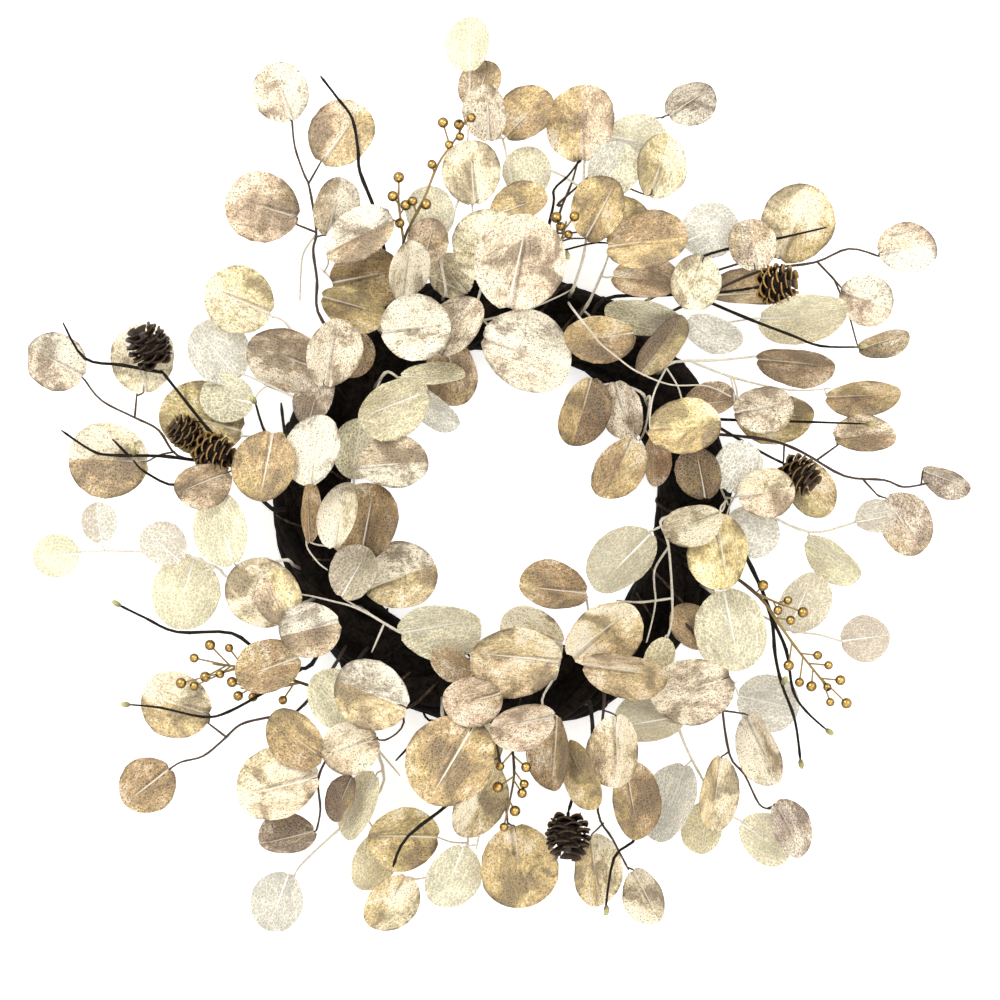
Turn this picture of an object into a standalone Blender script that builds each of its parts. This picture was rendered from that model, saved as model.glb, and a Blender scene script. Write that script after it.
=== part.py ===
# Eucalyptus wreath, lying on its back with its face up.
# Metres, +Z up. The origin is under the middle of the whole wreath, on the surface it lies on.
# Places on the plan are read from the photograph in its 1000 by 1000 frame, x right and y down.
import math

import bmesh
import bpy
from mathutils import Matrix, Vector
from mathutils.bvhtree import BVHTree

MM = 0.001

# The scale makes the whole wreath 610 mm across.
PLAN_STEP = 0.6435 * MM
PLAN_MIDDLE = (496.5, 474.0)

# The vine ring: its middle on the plan, and its section.
RING_MIDDLE = (502.0, 503.0)
RING_RADIUS = 124.0 * MM
RING_HALF_WIDTH = 25.0 * MM
RING_HALF_HEIGHT = 23.0 * MM
RING_LIFT = 20.0 * MM
VINE_COUNT = 4
VINE_SWELL = 0.09
VINE_TURNS = 3
RING_STEPS = 36
POINTS_PER_VINE = 2

# Stems: where they start in the ring, and how high they run.
ROOT_HEIGHT = 22.0 * MM
COLLAR_HEIGHT = 54.0 * MM
COLLAR_REACH = 8.0 * MM
STEM_HIGH = 57.0 * MM
STEM_LOW = 22.0 * MM
SHOULDER = 32.0 * MM
STEM_FALL = 0.26
STEM_RADIUS = 1.4
HOLE_GAP = 0.3 * MM
HOLE_END_GAP = 0.3 * MM
BRANCH_THINNING = 0.8
SUNK_SHARE = 0.5
TIP_THINNING = 0.7

# Leaves.
BLADE_THICKNESS = 0.8 * MM
PETIOLE_HALF_WIDTH = 0.8 * MM
PETIOLE_START = 0.45 * MM
BROADNESS = 0.94
SMALL_LEAF = 43.0 * MM
SHORT_PETIOLE = 25.0 * MM
BAR_SIDES = 3
FOLD_PLACE = 0.42
FLOOR_CLEARANCE = 4.0 * MM
LEAF_CLEARANCE = 0.9 * MM
STEM_CLEARANCE = 0.7 * MM
LEAF_LIFTS = (0, 4, -4, 8, -8, 12, -12, 16, 20, -16, 24, 28, -20, 32, 36, 40)
LEAF_TILTS = ((1, 1), (-1, 1), (1, -1), (-1, -1), (0.4, 0.5), (-0.4, -0.5))
STEM_LIFTS = (0, 3, -3, 6, 9, -6, 12, 15, 18, 21, 24)

# Berries, buds and cones.
BERRY_RADIUS = 3.2 * MM
STALK_RADIUS = 0.62 * MM
BUD_LENGTH = 7.0 * MM
BUD_RADIUS = 1.9 * MM
CONE_SIDES = 8
CONE_ROWS = 8

# Each spray: kind, root on the ring as an angle and an offset in mm, rise in mm, and routes.
# The first route leaves the ring. Each later one branches from the nearest stem.
# A leaf: x, y, heading in degrees, length and breadth in mm, rise above its stem in mm.
LEAFY_SPRAYS = {
    "gold_spray_01": dict(
        root=(137, 5), rise=0,
        routes=[[(340, 345), (318, 312), (317, 280), (313, 250), (316, 231), (309, 187), (303, 172),
                 (294, 145), (291, 117)],
                [(309, 183), (322, 158)],
                [(316, 232), (289, 221)]],
        leaves=[(280, 90, 109, 39, 39, 0), (342, 133, 53, 45, 42, 4), (261, 206, 163, 48, 45, 2),
                (334, 206, 78, 38, 31, 14), (331, 352, 80, 44, 36, 36)]),
    "gold_spray_02": dict(
        root=(147, 8), rise=2,
        routes=[[(318, 378), (300, 345), (285, 322), (270, 316)]],
        leaves=[(237, 300, 157, 46, 46, 0), (288, 358, 160, 54, 42, 24)]),
    "gold_spray_03": dict(
        root=(125, 4), rise=0,
        routes=[[(372, 322), (345, 292), (320, 268)],
                [(380, 322), (398, 292), (406, 262), (420, 250)]],
        leaves=[(360, 236, 28, 48, 36, 20), (368, 276, 12, 46, 32, 6), (356, 306, -15, 43, 29, 28),
                (405, 270, 82, 38, 27, 22), (430, 240, 74, 29, 27, 4), (418, 328, 5, 45, 43, 44),
                (456, 326, 62, 44, 34, 26), (455, 374, -72, 42, 36, 14)]),
    "gold_spray_04": dict(
        root=(101, -6), rise=2,
        routes=[[(478, 300), (484, 268), (474, 232), (472, 195)],
                [(485, 322), (498, 337)]],
        leaves=[(487, 246, 100, 48, 46, 28), (472, 172, 94, 41, 39, 2),
                (528, 353, -20, 60, 53, 26)]),
    "gold_spray_05": dict(
        root=(91, 3), rise=4,
        routes=[[(508, 290), (520, 250), (516, 205), (508, 165), (503, 140), (490, 118)]],
        leaves=[(518, 262, 78, 62, 58, 36), (520, 207, 18, 38, 28, 12), (527, 113, 47, 40, 34, 0),
                (488, 112, 92, 36, 30, 8), (482, 84, 70, 33, 28, -6)]),
    "gold_spray_06": dict(
        root=(79, 6), rise=2,
        routes=[[(546, 285), (556, 240), (560, 212), (572, 182), (578, 160)],
                [(559, 203), (596, 170), (610, 155), (640, 122), (665, 116)]],
        leaves=[(581, 121, 90, 51, 46, 0), (602, 210, 60, 43, 36, 12), (622, 219, 15, 38, 32, -4),
                (691, 99, 35, 34, 29, 0), (660, 165, 70, 42, 34, 6)]),
    "gold_spray_07": dict(
        root=(68, 0), rise=2,
        routes=[[(590, 300), (604, 268), (610, 250)]],
        leaves=[(647, 242, 8, 52, 40, 28), (646, 280, -5, 43, 30, 14), (598, 340, 190, 45, 33, 34)]),
    "gold_spray_08": dict(
        root=(59, 6), rise=0,
        routes=[[(630, 310), (668, 290), (712, 272), (756, 258), (787, 246)]],
        leaves=[(797, 222, 65, 52, 48, 6), (752, 244, 95, 34, 34, 14), (694, 284, -110, 36, 33, 26),
                (752, 294, 2, 52, 28, -6)]),
    "gold_spray_09": dict(
        root=(51, 9), rise=6,
        routes=[[(652, 322), (700, 298), (760, 271), (815, 262), (850, 248), (882, 256)],
                [(818, 262), (833, 277), (848, 294)]],
        leaves=[(910, 247, 10, 39, 35, 0), (868, 300, -20, 36, 34, -2), (885, 340, 18, 34, 19, -4)]),
    "gold_spray_10": dict(
        root=(40, 2), rise=0,
        routes=[[(675, 362), (720, 360), (758, 356)],
                [(690, 360), (735, 378), (790, 390), (832, 388)]],
        leaves=[(797, 362, -5, 50, 27, 2), (865, 395, 2, 48, 25, 0), (763, 407, 10, 38, 32, 24),
                (775, 412, -5, 50, 34, 6), (662, 346, 52, 46, 24, 20), (710, 404, 5, 34, 24, 10),
                (684, 427, 2, 46, 38, 34)]),
    "gold_spray_11": dict(
        root=(31, -11), rise=2,
        routes=[[(640, 392), (614, 384), (590, 388)],
                [(650, 398), (644, 432), (634, 446)]],
        leaves=[(582, 413, -105, 45, 34, 16), (624, 411, -75, 38, 29, 4), (618, 470, -115, 43, 34, 24),
                (656, 462, -80, 32, 21, 2)]),
    "gold_spray_12": dict(
        root=(20, 4), rise=2,
        routes=[[(712, 434), (768, 440), (802, 452), (845, 476), (885, 480), (905, 487), (930, 483)],
                [(862, 479), (880, 497)],
                [(818, 458), (841, 443)]],
        leaves=[(949, 479, -20, 33, 20, 0), (906, 525, -55, 42, 36, -2), (866, 435, 6, 40, 27, 2),
                (808, 490, -42, 42, 33, 12)]),
    "gold_spray_13": dict(
        root=(8, 5), rise=0,
        routes=[[(716, 480), (728, 505)]],
        leaves=[(766, 492, 8, 36, 33, 14), (722, 553, -80, 48, 40, 24), (690, 524, 200, 38, 29, 34),
                (700, 472, 100, 34, 30, 20)]),
    "gold_spray_14": dict(
        root=(327, 7), rise=0,
        routes=[[(694, 632), (727, 668), (722, 700), (730, 755), (745, 775), (760, 805), (772, 810)]],
        leaves=[(690, 690, 200, 54, 46, 26), (764, 749, -65, 48, 30, 8), (792, 830, -58, 39, 28, 0),
                (716, 795, -98, 48, 29, 0), (690, 626, 120, 32, 27, 12)]),
    "gold_spray_15": dict(
        root=(309, -7), rise=2,
        routes=[[(598, 640), (590, 618), (586, 596)]],
        leaves=[(552, 590, 175, 44, 33, 10), (602, 629, 40, 52, 42, 36), (626, 669, -8, 54, 33, 26)]),
    "gold_spray_16": dict(
        root=(284, -3), rise=0,
        routes=[[(556, 676), (560, 660)],
                [(542, 700), (548, 722)]],
        leaves=[(514, 655, 172, 58, 48, 34), (531, 632, 160, 42, 36, 16), (521, 721, 190, 42, 32, 36),
                (556, 753, -92, 48, 30, 8), (581, 775, -68, 46, 26, 16)]),
    "gold_spray_17": dict(
        root=(299, 8), rise=2,
        routes=[[(604, 700), (600, 750), (598, 812), (613, 840), (629, 871)]],
        leaves=[(617, 751, -88, 46, 36, 24), (632, 801, -80, 50, 34, 8), (648, 897, -62, 37, 28, 0),
                (595, 872, -84, 46, 34, -4)]),
    "gold_spray_18": dict(
        root=(267, 4), rise=0,
        routes=[[(494, 728), (502, 775), (508, 826)]],
        leaves=[(519, 868, -84, 54, 52, 0), (478, 801, -105, 50, 36, 8), (452, 762, -120, 60, 48, 22)]),
    "gold_spray_19": dict(
        root=(252, 2), rise=0,
        routes=[[(444, 722), (462, 790), (468, 842), (458, 860), (440, 875), (412, 881)]],
        leaves=[(402, 836, 177, 46, 42, 8), (391, 905, -120, 41, 34, 0), (472, 700, 195, 38, 34, 34),
                (452, 663, 160, 30, 22, 20)]),
    "gold_spray_20": dict(
        root=(237, 5), rise=0,
        routes=[[(376, 700), (350, 728), (328, 757), (318, 780), (320, 810), (316, 832)],
                [(392, 688), (404, 722), (385, 740), (368, 734)]],
        leaves=[(371, 693, 160, 50, 46, 30), (350, 748, 200, 37, 35, 12), (295, 738, 145, 44, 36, 12),
                (278, 788, 195, 54, 47, 4), (286, 840, 195, 37, 28, -4), (342, 799, -115, 31, 20, 6)]),
    "gold_spray_21": dict(
        root=(207, 8), rise=0,
        routes=[[(302, 604), (285, 616), (270, 622)]],
        leaves=[(310, 629, 195, 40, 37, 34), (280, 596, 120, 36, 32, 26), (262, 592, 150, 48, 46, 8),
                (268, 668, 200, 42, 24, 0)]),
    "gold_spray_22": dict(
        root=(222, 8), rise=-2,
        routes=[[(330, 672), (296, 712), (266, 718), (240, 725), (222, 741), (202, 757), (180, 763),
                 (167, 771)],
                [(226, 738), (205, 722)]],
        leaves=[(145, 788, 218, 38, 37, 0), (174, 705, 165, 47, 44, 2)]),
    "gold_spray_23": dict(
        root=(170, 9), rise=0,
        routes=[[(268, 472), (222, 464), (178, 456), (158, 430), (133, 417), (100, 400), (82, 378)],
                [(134, 417), (136, 392)]],
        leaves=[(53, 361, 150, 40, 38, 0), (142, 357, 92, 45, 43, 4), (106, 460, 178, 53, 50, -4),
                (203, 482, 200, 37, 30, 4)]),
    "gold_spray_24": dict(
        root=(161, 3), rise=4,
        routes=[[(288, 440), (262, 437), (240, 436)]],
        leaves=[(200, 420, 165, 54, 37, -6), (314, 449, 85, 46, 38, 36), (268, 468, -100, 45, 32, 18),
                (316, 398, 75, 36, 27, 14)]),
    "gold_spray_25": dict(
        root=(191, -8), rise=2,
        routes=[[(340, 548), (352, 520), (354, 480), (352, 466)],
                [(340, 560), (364, 586)]],
        leaves=[(340, 514, 82, 43, 28, 34), (368, 522, 78, 50, 30, 18), (395, 464, 4, 44, 36, 20),
                (401, 576, 20, 48, 44, 0), (308, 511, 94, 40, 14, 22)]),
    "pale_spray_01": dict(
        root=(107, 10), rise=6,
        routes=[[(446, 290), (440, 246), (452, 218), (464, 180), (468, 130), (470, 72)]],
        leaves=[(469, 42, 92, 35, 30, 0)]),
    "pale_spray_02": dict(
        root=(72, 13), rise=4,
        routes=[[(574, 286), (586, 240), (584, 165), (600, 119), (616, 113)],
                [(585, 190), (556, 172), (540, 170)]],
        leaves=[(640, 141, -10, 40, 30, -6), (527, 171, 100, 34, 33, -8)]),
    "pale_spray_03": dict(
        root=(54, -2), rise=8,
        routes=[[(640, 318), (664, 262), (678, 228)],
                [(652, 330), (704, 326), (756, 318)]],
        leaves=[(711, 230, 25, 39, 38, -4), (642, 318, 170, 50, 24, 16), (805, 318, 0, 58, 36, -10),
                (714, 334, -30, 38, 26, 4)]),
    "pale_spray_04": dict(
        root=(14, 12), rise=6,
        routes=[[(725, 478), (765, 512), (810, 532), (850, 524), (862, 518)]],
        leaves=[(737, 466, 60, 34, 26, 4), (836, 556, -30, 42, 26, -8), (876, 519, 10, 26, 22, 0)]),
    "pale_spray_05": dict(
        root=(358, -6), rise=8,
        routes=[[(660, 522), (668, 545), (672, 610), (667, 638)],
                [(662, 526), (646, 533)],
                [(671, 598), (640, 602), (616, 600)]],
        leaves=[(622, 562, 225, 50, 38, 22), (658, 655, -110, 24, 20, 12)]),
    "pale_spray_06": dict(
        root=(338, 10), rise=2,
        routes=[[(716, 594), (762, 616), (795, 631), (820, 635), (843, 642)]],
        leaves=[(732, 631, -78, 52, 42, 0), (801, 601, 68, 42, 34, -4), (867, 638, 8, 32, 31, 0)]),
    "pale_spray_07": dict(
        root=(317, 12), rise=-2,
        routes=[[(666, 690), (684, 742), (702, 778), (722, 810), (744, 823)],
                [(700, 690), (738, 682)]],
        leaves=[(648, 722, 190, 44, 34, 12), (672, 805, -110, 52, 36, -4), (706, 830, -100, 34, 28, -8),
                (767, 842, -35, 38, 32, -4), (770, 703, -12, 40, 38, -8)]),
    "pale_spray_08": dict(
        root=(261, 12), rise=6,
        routes=[[(474, 735), (484, 800), (476, 850)]],
        leaves=[(452, 878, -110, 42, 36, -4)]),
    "pale_spray_09": dict(
        root=(231, 14), rise=-2,
        routes=[[(366, 720), (384, 780), (356, 815), (330, 838), (299, 868), (291, 884)],
                [(374, 745), (400, 776)]],
        leaves=[(277, 905, -110, 39, 35, 0), (358, 806, 240, 46, 27, 8), (372, 864, -100, 38, 30, -6),
                (334, 700, 130, 42, 24, 2)]),
    "pale_spray_10": dict(
        root=(214, -9), rise=8,
        routes=[[(370, 614), (400, 632), (416, 640)],
                [(384, 624), (372, 652)]],
        leaves=[(441, 624, 12, 53, 40, 12), (356, 572, 60, 36, 32, 10)]),
    "pale_spray_11": dict(
        root=(199, 10), rise=2,
        routes=[[(282, 560), (232, 577), (216, 567), (180, 555), (110, 551), (66, 553)],
                [(216, 567), (196, 575)]],
        leaves=[(184, 593, -105, 48, 44, -4), (222, 529, 110, 47, 38, 4), (162, 546, 140, 32, 28, 4),
                (54, 556, 185, 30, 30, 0), (97, 522, 100, 26, 24, 0)]),
    "pale_spray_12": dict(
        root=(140, -13), rise=6,
        routes=[[(388, 372), (404, 384), (410, 400)]],
        leaves=[(392, 405, 200, 48, 38, 20), (436, 408, -35, 38, 22, 0), (434, 379, -3, 42, 16, 14),
                (356, 450, -100, 38, 34, -2)]),
    "pale_spray_13": dict(
        root=(153, 12), rise=2,
        routes=[[(300, 400), (262, 382), (238, 372)]],
        leaves=[(216, 352, 130, 44, 40, -4)]),
}

# Bare twigs. A tip with a bud has one of its colours, and cones sit where they are listed.
# A cone: x, y, heading in degrees, diameter and length in mm.
TWIGS = {
    "dark_twig_01": dict(
        root=(121, 12), rise=14, radius=1.5,
        routes=[[(388, 270), (376, 214), (360, 172), (358, 150), (352, 118), (337, 97), (320, 75)]],
        buds=[], cones=[]),
    "dark_twig_02": dict(
        root=(83, 14), rise=12, radius=1.2,
        routes=[[(538, 270), (553, 207), (554, 190), (568, 176), (580, 160)],
                [(549, 255), (597, 243), (622, 249)]],
        buds=[(597, 243, 60), (572, 269, -70)], cones=[]),
    "dark_twig_03": dict(
        root=(176, 14), rise=12, radius=1.5,
        routes=[[(258, 466), (195, 460), (160, 456), (110, 455), (90, 450), (60, 430)],
                [(128, 455), (112, 439)],
                [(206, 461), (177, 485), (145, 472), (133, 460)]],
        buds=[(132, 453, 100)], cones=[]),
    "dark_twig_04": dict(
        root=(166, -6), rise=20, radius=1.7,
        routes=[[(303, 486), (288, 445), (282, 403)],
                [(292, 458), (268, 436), (256, 402)]],
        buds=[(256, 402, 120), (285, 436, 150), (290, 450, 10)], cones=[]),
    "dark_twig_05": dict(
        root=(217, 15), rise=10, radius=1.5,
        routes=[[(306, 668), (265, 656), (232, 633), (177, 632), (145, 618), (118, 605)],
                [(304, 668), (268, 690), (228, 712), (203, 717), (160, 708), (127, 705)]],
        buds=[(118, 605, 150), (127, 705, 175)], cones=[]),
    "dark_twig_06": dict(
        root=(258, -5), rise=16, radius=1.7,
        routes=[[(462, 722), (466, 784), (408, 836), (393, 867)],
                [(463, 714), (434, 722), (396, 760)]],
        buds=[], cones=[]),
    "dark_twig_07": dict(
        root=(345, 12), rise=10, radius=1.6,
        routes=[[(734, 540), (757, 580), (771, 618), (775, 655), (782, 685), (795, 720), (801, 762)],
                [(772, 616), (786, 650), (793, 690), (806, 711), (828, 731)]],
        buds=[(801, 762, -80), (828, 731, -35), (782, 687, 60)], cones=[]),
    "cone_twig_01": dict(
        root=(182, 12), rise=8, radius=1.7,
        routes=[[(272, 508), (250, 485), (222, 445), (205, 425), (185, 400), (161, 370)],
                [(164, 372), (122, 365), (84, 358), (62, 322)]],
        buds=[],
        cones=[(150, 348, 120, 24, 27), (187, 433, 150, 19, 21), (213, 452, -20, 22, 24)]),
    "cone_twig_02": dict(
        root=(64, -9), rise=16, radius=1.5,
        routes=[[(604, 300), (660, 296), (718, 293), (754, 288)],
                [(640, 297), (692, 262), (728, 249), (780, 238), (827, 227)],
                [(690, 295), (745, 318), (790, 335), (820, 346), (860, 347)]],
        buds=[(865, 345, 10)],
        cones=[(775, 285, 8, 23, 25)]),
    "cone_twig_03": dict(
        root=(26, 12), rise=14, radius=1.4,
        routes=[[(712, 424), (760, 452), (784, 464)],
                [(704, 420), (760, 421), (807, 422), (868, 424)]],
        buds=[(868, 424, 0)],
        cones=[(797, 474, -35, 22, 24)]),
    "cone_twig_04": dict(
        root=(292, 14), rise=14, radius=1.8,
        routes=[[(590, 705), (592, 745), (578, 780), (568, 812)],
                [(592, 740), (620, 785), (636, 835), (614, 858), (605, 916)]],
        buds=[(605, 908, -90)],
        cones=[(568, 834, -90, 25, 28)]),
}

# Berry sprays. A berry: x, y, rise above its stem in mm.
BERRY_SPRAYS = {
    "berry_spray_01": dict(
        root=(114, 12), rise=18, radius=1.2,
        routes=[[(408, 272), (404, 242), (424, 200), (438, 165), (455, 140), (466, 120)],
                [(405, 250), (399, 205), (399, 186)]],
        berries=[(443, 123, 2), (459, 125, 6), (471, 118, 2), (449, 145, 0), (432, 165, 3),
                 (413, 202, 4), (399, 178, 2), (393, 197, 3), (385, 214, 1)]),
    "berry_spray_02": dict(
        root=(86, -12), rise=30, radius=1.0,
        routes=[[(548, 270), (562, 238), (566, 222)]],
        berries=[(556, 219, 2), (574, 218, 3), (568, 236, 5), (560, 228, 6)]),
    "berry_spray_03": dict(
        root=(227, -2), rise=4, radius=1.3,
        routes=[[(332, 690), (308, 685), (270, 672), (240, 667), (212, 664)],
                [(300, 684), (262, 690), (240, 688)]],
        berries=[(210, 645, 4), (229, 648, 2), (194, 658, 3), (205, 677, 0), (181, 683, 2),
                 (220, 674, 5), (238, 696, 0), (253, 678, 5), (253, 697, 2), (283, 700, 2)]),
    "berry_spray_04": dict(
        root=(273, 12), rise=20, radius=1.1,
        routes=[[(512, 742), (514, 775), (507, 812)]],
        berries=[(500, 765, 3), (524, 783, 1), (515, 810, 0), (504, 826, 2)]),
    "berry_spray_05": dict(
        root=(341, -4), rise=18, radius=1.3,
        routes=[[(722, 570), (758, 596), (780, 626), (799, 652), (830, 690)],
                [(752, 592), (784, 606)]],
        berries=[(787, 600, 3), (802, 612, 2), (790, 620, 0), (788, 665, 3), (817, 655, 4),
                 (799, 682, 1), (811, 686, 2), (840, 680, 3), (830, 702, 1), (846, 703, 3)]),
}

COLOURS = {
    "vine": ((0.018, 0.012, 0.009), 0.75, 0.0),
    "gold_leaf": ((0.52, 0.38, 0.24), 0.38, 0.45),
    "pale_leaf": ((0.82, 0.78, 0.66), 0.6, 0.0),
    "dark_twig": ((0.02, 0.014, 0.01), 0.65, 0.0),
    "cone": ((0.05, 0.03, 0.018), 0.6, 0.0),
    "gold_berry": ((0.45, 0.28, 0.08), 0.3, 0.6),
}


def clear_scene():
    for item in list(bpy.data.objects):
        bpy.data.objects.remove(item, do_unlink=True)


def plan_point(x, y, z=0.0):
    return Vector(((x - PLAN_MIDDLE[0]) * PLAN_STEP, (PLAN_MIDDLE[1] - y) * PLAN_STEP, z))


def sway(x, y, turn):
    # A fixed draw from -1 to 1 that belongs to one place on the plan.
    return math.sin(x * 12.9898 + y * 78.233 + turn * 37.719)


def ring_place(angle, offset, height):
    turn = math.radians(angle)
    reach = RING_RADIUS + offset * MM
    return plan_point(*RING_MIDDLE) + Vector((reach * math.cos(turn), reach * math.sin(turn), height))


def stem_height(point):
    # Stems clear the ring and come down outside it.
    away = abs((point - plan_point(*RING_MIDDLE)).to_2d().length - RING_RADIUS)
    return max(STEM_LOW, STEM_HIGH - max(0.0, away - SHOULDER) * STEM_FALL)


def make_material(name):
    colour, roughness, metallic = COLOURS[name]
    material = bpy.data.materials.new(name)
    material.use_nodes = True
    shader = material.node_tree.nodes["Principled BSDF"]
    shader.inputs["Base Color"].default_value = (*colour, 1.0)
    shader.inputs["Roughness"].default_value = roughness
    shader.inputs["Metallic"].default_value = metallic
    return material


def mesh_object(name, mesh, collection):
    item = bpy.data.objects.new(name, mesh)
    collection.objects.link(item)
    return item


def mesh_from_bmesh(name, shape):
    bmesh.ops.triangulate(shape, faces=shape.faces)
    bmesh.ops.recalc_face_normals(shape, faces=shape.faces)
    mesh = bpy.data.meshes.new(name)
    shape.to_mesh(mesh)
    shape.free()
    return mesh


def evaluated_mesh(item):
    graph = bpy.context.evaluated_depsgraph_get()
    return bpy.data.meshes.new_from_object(item.evaluated_get(graph))


def bar_profile(collection):
    # The small section that every stem and stalk is swept with.
    curve = bpy.data.curves.new("bar_profile", "CURVE")
    curve.dimensions = "2D"
    spline = curve.splines.new("POLY")
    spline.points.add(BAR_SIDES - 1)
    for index, point in enumerate(spline.points):
        turn = math.tau * index / BAR_SIDES
        point.co = (math.cos(turn), math.sin(turn), 0.0, 1.0)
    spline.use_cyclic_u = True
    item = mesh_object("bar_profile", curve, collection)
    item.hide_render = True
    item.display_type = "WIRE"
    return item


def tube_mesh(path, radius, tip_share=1.0, start_share=1.0):
    # A slim bar with few sides along a polyline.
    curve = bpy.data.curves.new("bar", "CURVE")
    curve.dimensions = "3D"
    curve.bevel_mode = "OBJECT"
    curve.bevel_object = bpy.data.objects["bar_profile"]
    curve.use_fill_caps = True
    spline = curve.splines.new("POLY")
    spline.points.add(len(path) - 1)
    for index, point in enumerate(path):
        share = index / (len(path) - 1)
        spline.points[index].co = (*point, 1.0)
        spline.points[index].radius = radius * (1.0 + (tip_share - 1.0) * share)
    spline.points[0].radius = radius * start_share
    item = mesh_object("bar", curve, bpy.context.scene.collection)
    mesh = evaluated_mesh(item)
    bpy.data.objects.remove(item, do_unlink=True)
    bpy.data.curves.remove(curve)
    shape = bmesh.new()
    shape.from_mesh(mesh)
    bpy.data.meshes.remove(mesh)
    bmesh.ops.remove_doubles(shape, verts=shape.verts, dist=0.01 * MM)
    return mesh_from_bmesh("bar", shape)


# Paths of stems.

def path_length(path):
    return sum((b - a).length for a, b in zip(path, path[1:]))


def point_along(path, distance):
    for a, b in zip(path, path[1:]):
        step = (b - a).length
        if distance <= step:
            return a.lerp(b, distance / step)
        distance -= step
    return path[-1].copy()


def nearest_along(path, place):
    # The distance from a place to the path on the plan, and how far along the path that is.
    best_gap, best_along, along = math.inf, 0.0, 0.0
    for a, b in zip(path, path[1:]):
        run = (b - a).to_2d()
        share = (place - a).to_2d().dot(run) / max(run.length_squared, 1e-12)
        share = min(1.0, max(0.0, share))
        gap = (a.lerp(b, share) - place).to_2d().length
        if gap < best_gap:
            best_gap = gap
            best_along = along + share * (b - a).length
        along += (b - a).length
    return best_gap, best_along


def nearest_path(paths, place):
    found = [(*nearest_along(path, place), index) for index, path in enumerate(paths)]
    gap, along, index = min(found)
    return paths[index], gap, along, index


def spray_paths(spray, lift):
    start = ring_place(*spray["root"], ROOT_HEIGHT)
    first = plan_point(*spray["routes"][0][0])
    toward = (first - start).to_2d()
    reach = min(COLLAR_REACH, toward.length * 0.5)
    toward.normalize()
    collar = start + Vector((toward.x * reach, toward.y * reach, 0.0))
    collar.z = COLLAR_HEIGHT
    rise = spray["rise"] * MM + lift
    paths = []
    for route in spray["routes"]:
        points = []
        for place in route:
            point = plan_point(*place)
            point.z = stem_height(point) + rise
            points.append(point)
        if not paths:
            paths.append([start, collar] + points)
            continue
        stem, gap, along, _ = nearest_path(paths, points[0])
        if gap < 4 * PLAN_STEP:
            points.pop(0)
        if stem is paths[0]:
            along = max(along, (collar - start).length + 2 * MM)
        paths.append([point_along(stem, along)] + points)
    return paths


# Leaves. The blade and its petiole are one open surface that Solidify thickens.

def petiole_start(paths, base):
    path, gap, along, index = nearest_path(paths, base)
    least = (path[1] - path[0]).length + 3 * MM if index == 0 else 2 * MM
    most = path_length(path) - 2 * MM
    return point_along(path, min(max(along - 0.35 * gap, least), most))


def leaf_surface(leaf, paths, tilt, lift):
    x, y, heading, length, breadth, rise = leaf
    length *= MM
    breadth *= MM
    turn = math.radians(heading)
    roll = min(math.acos(min(1.0, breadth / (length * BROADNESS))), math.radians(50.0))
    width = min(length * BROADNESS, breadth / math.cos(roll))
    roll = math.copysign(roll + math.radians(5.0), sway(x, y, 1)) * tilt[0]
    pitch = math.copysign(math.radians(4.0 + 9.0 * abs(sway(x, y, 2))), sway(x, y, 3)) * tilt[1]
    fold = math.tan(math.radians(11.0 + 6.0 * sway(x, y, 4)))
    curl = 0.06 * sway(x, y, 5)
    forward = Vector((math.cos(turn) * math.cos(pitch), math.sin(turn) * math.cos(pitch), math.sin(pitch)))
    side = Matrix.Rotation(roll, 3, forward) @ Vector((-math.sin(turn), math.cos(turn), 0.0))
    up = forward.cross(side)
    centre = plan_point(x, y)
    flat_base = centre - forward * length * 0.5
    start = petiole_start(paths, flat_base)
    centre.z = start.z + rise * MM + lift
    base = centre - forward * length * 0.5

    def blade_point(along, across):
        bend = abs(across) * fold + curl * along * along / length
        return base + forward * along + side * across + up * bend

    run = base - start
    level = Vector((-run.y, run.x, 0.0)).normalized()
    middle = start.lerp(base, 0.5) + level * run.length * 0.07 * sway(x, y, 6)
    middle.z += 0.05 * run.length
    half = PETIOLE_HALF_WIDTH
    halfway = (level + side).normalized()
    right_edge = [start - level * PETIOLE_START, blade_point(0.0, -half)]
    left_edge = [start + level * PETIOLE_START, blade_point(0.0, half)]
    if run.length > SHORT_PETIOLE:
        right_edge.insert(1, middle - halfway * half)
        left_edge.insert(1, middle + halfway * half)
    count = 2 if length < SMALL_LEAF else 3
    rim = []
    for step in range(1, count + 1):
        around = math.pi * (1.0 - (step + 0.3) / (count + 1.3))
        rim.append((length * 0.5 * (1.0 + math.cos(around)), width * 0.515 * math.sin(around)))
    right_side = [blade_point(along, -across) for along, across in rim]
    left_side = [blade_point(along, across) for along, across in reversed(rim)]
    tip = blade_point(length, 0.0)
    fold_point = blade_point(length * FOLD_PLACE, 0.0)
    border = right_edge + right_side + [tip] + left_side + left_edge[::-1]
    points = border + [fold_point]
    last = len(border) - 1
    faces = []
    for step in range(len(right_edge) - 1):
        faces.append((step, step + 1, last - step - 1))
        faces.append((step, last - step - 1, last - step))
    hub = len(points) - 1
    neck = len(right_edge) - 1
    faces += [(hub, index, index + 1) for index in range(neck, last - neck)]
    faces.append((hub, last - neck, neck))
    return points, faces, len(border)


def thick_shell(points, faces, border, half_thickness):
    # Both skins of a leaf and the rim between them, for measuring clearances.
    normals = [Vector() for _ in points]
    for face in faces:
        a, b, c = (points[index] for index in face)
        normal = (b - a).cross(c - a).normalized()
        for index in face:
            normals[index] += normal
    normals = [normal.normalized() * half_thickness for normal in normals]
    count = len(points)
    skin = [point + normal for point, normal in zip(points, normals)]
    skin += [point - normal for point, normal in zip(points, normals)]
    shell = list(faces) + [tuple(index + count for index in face) for face in faces]
    for index in range(border):
        after = (index + 1) % border
        shell.append((index, after, after + count))
        shell.append((index, after + count, index + count))
    return skin, shell


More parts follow.
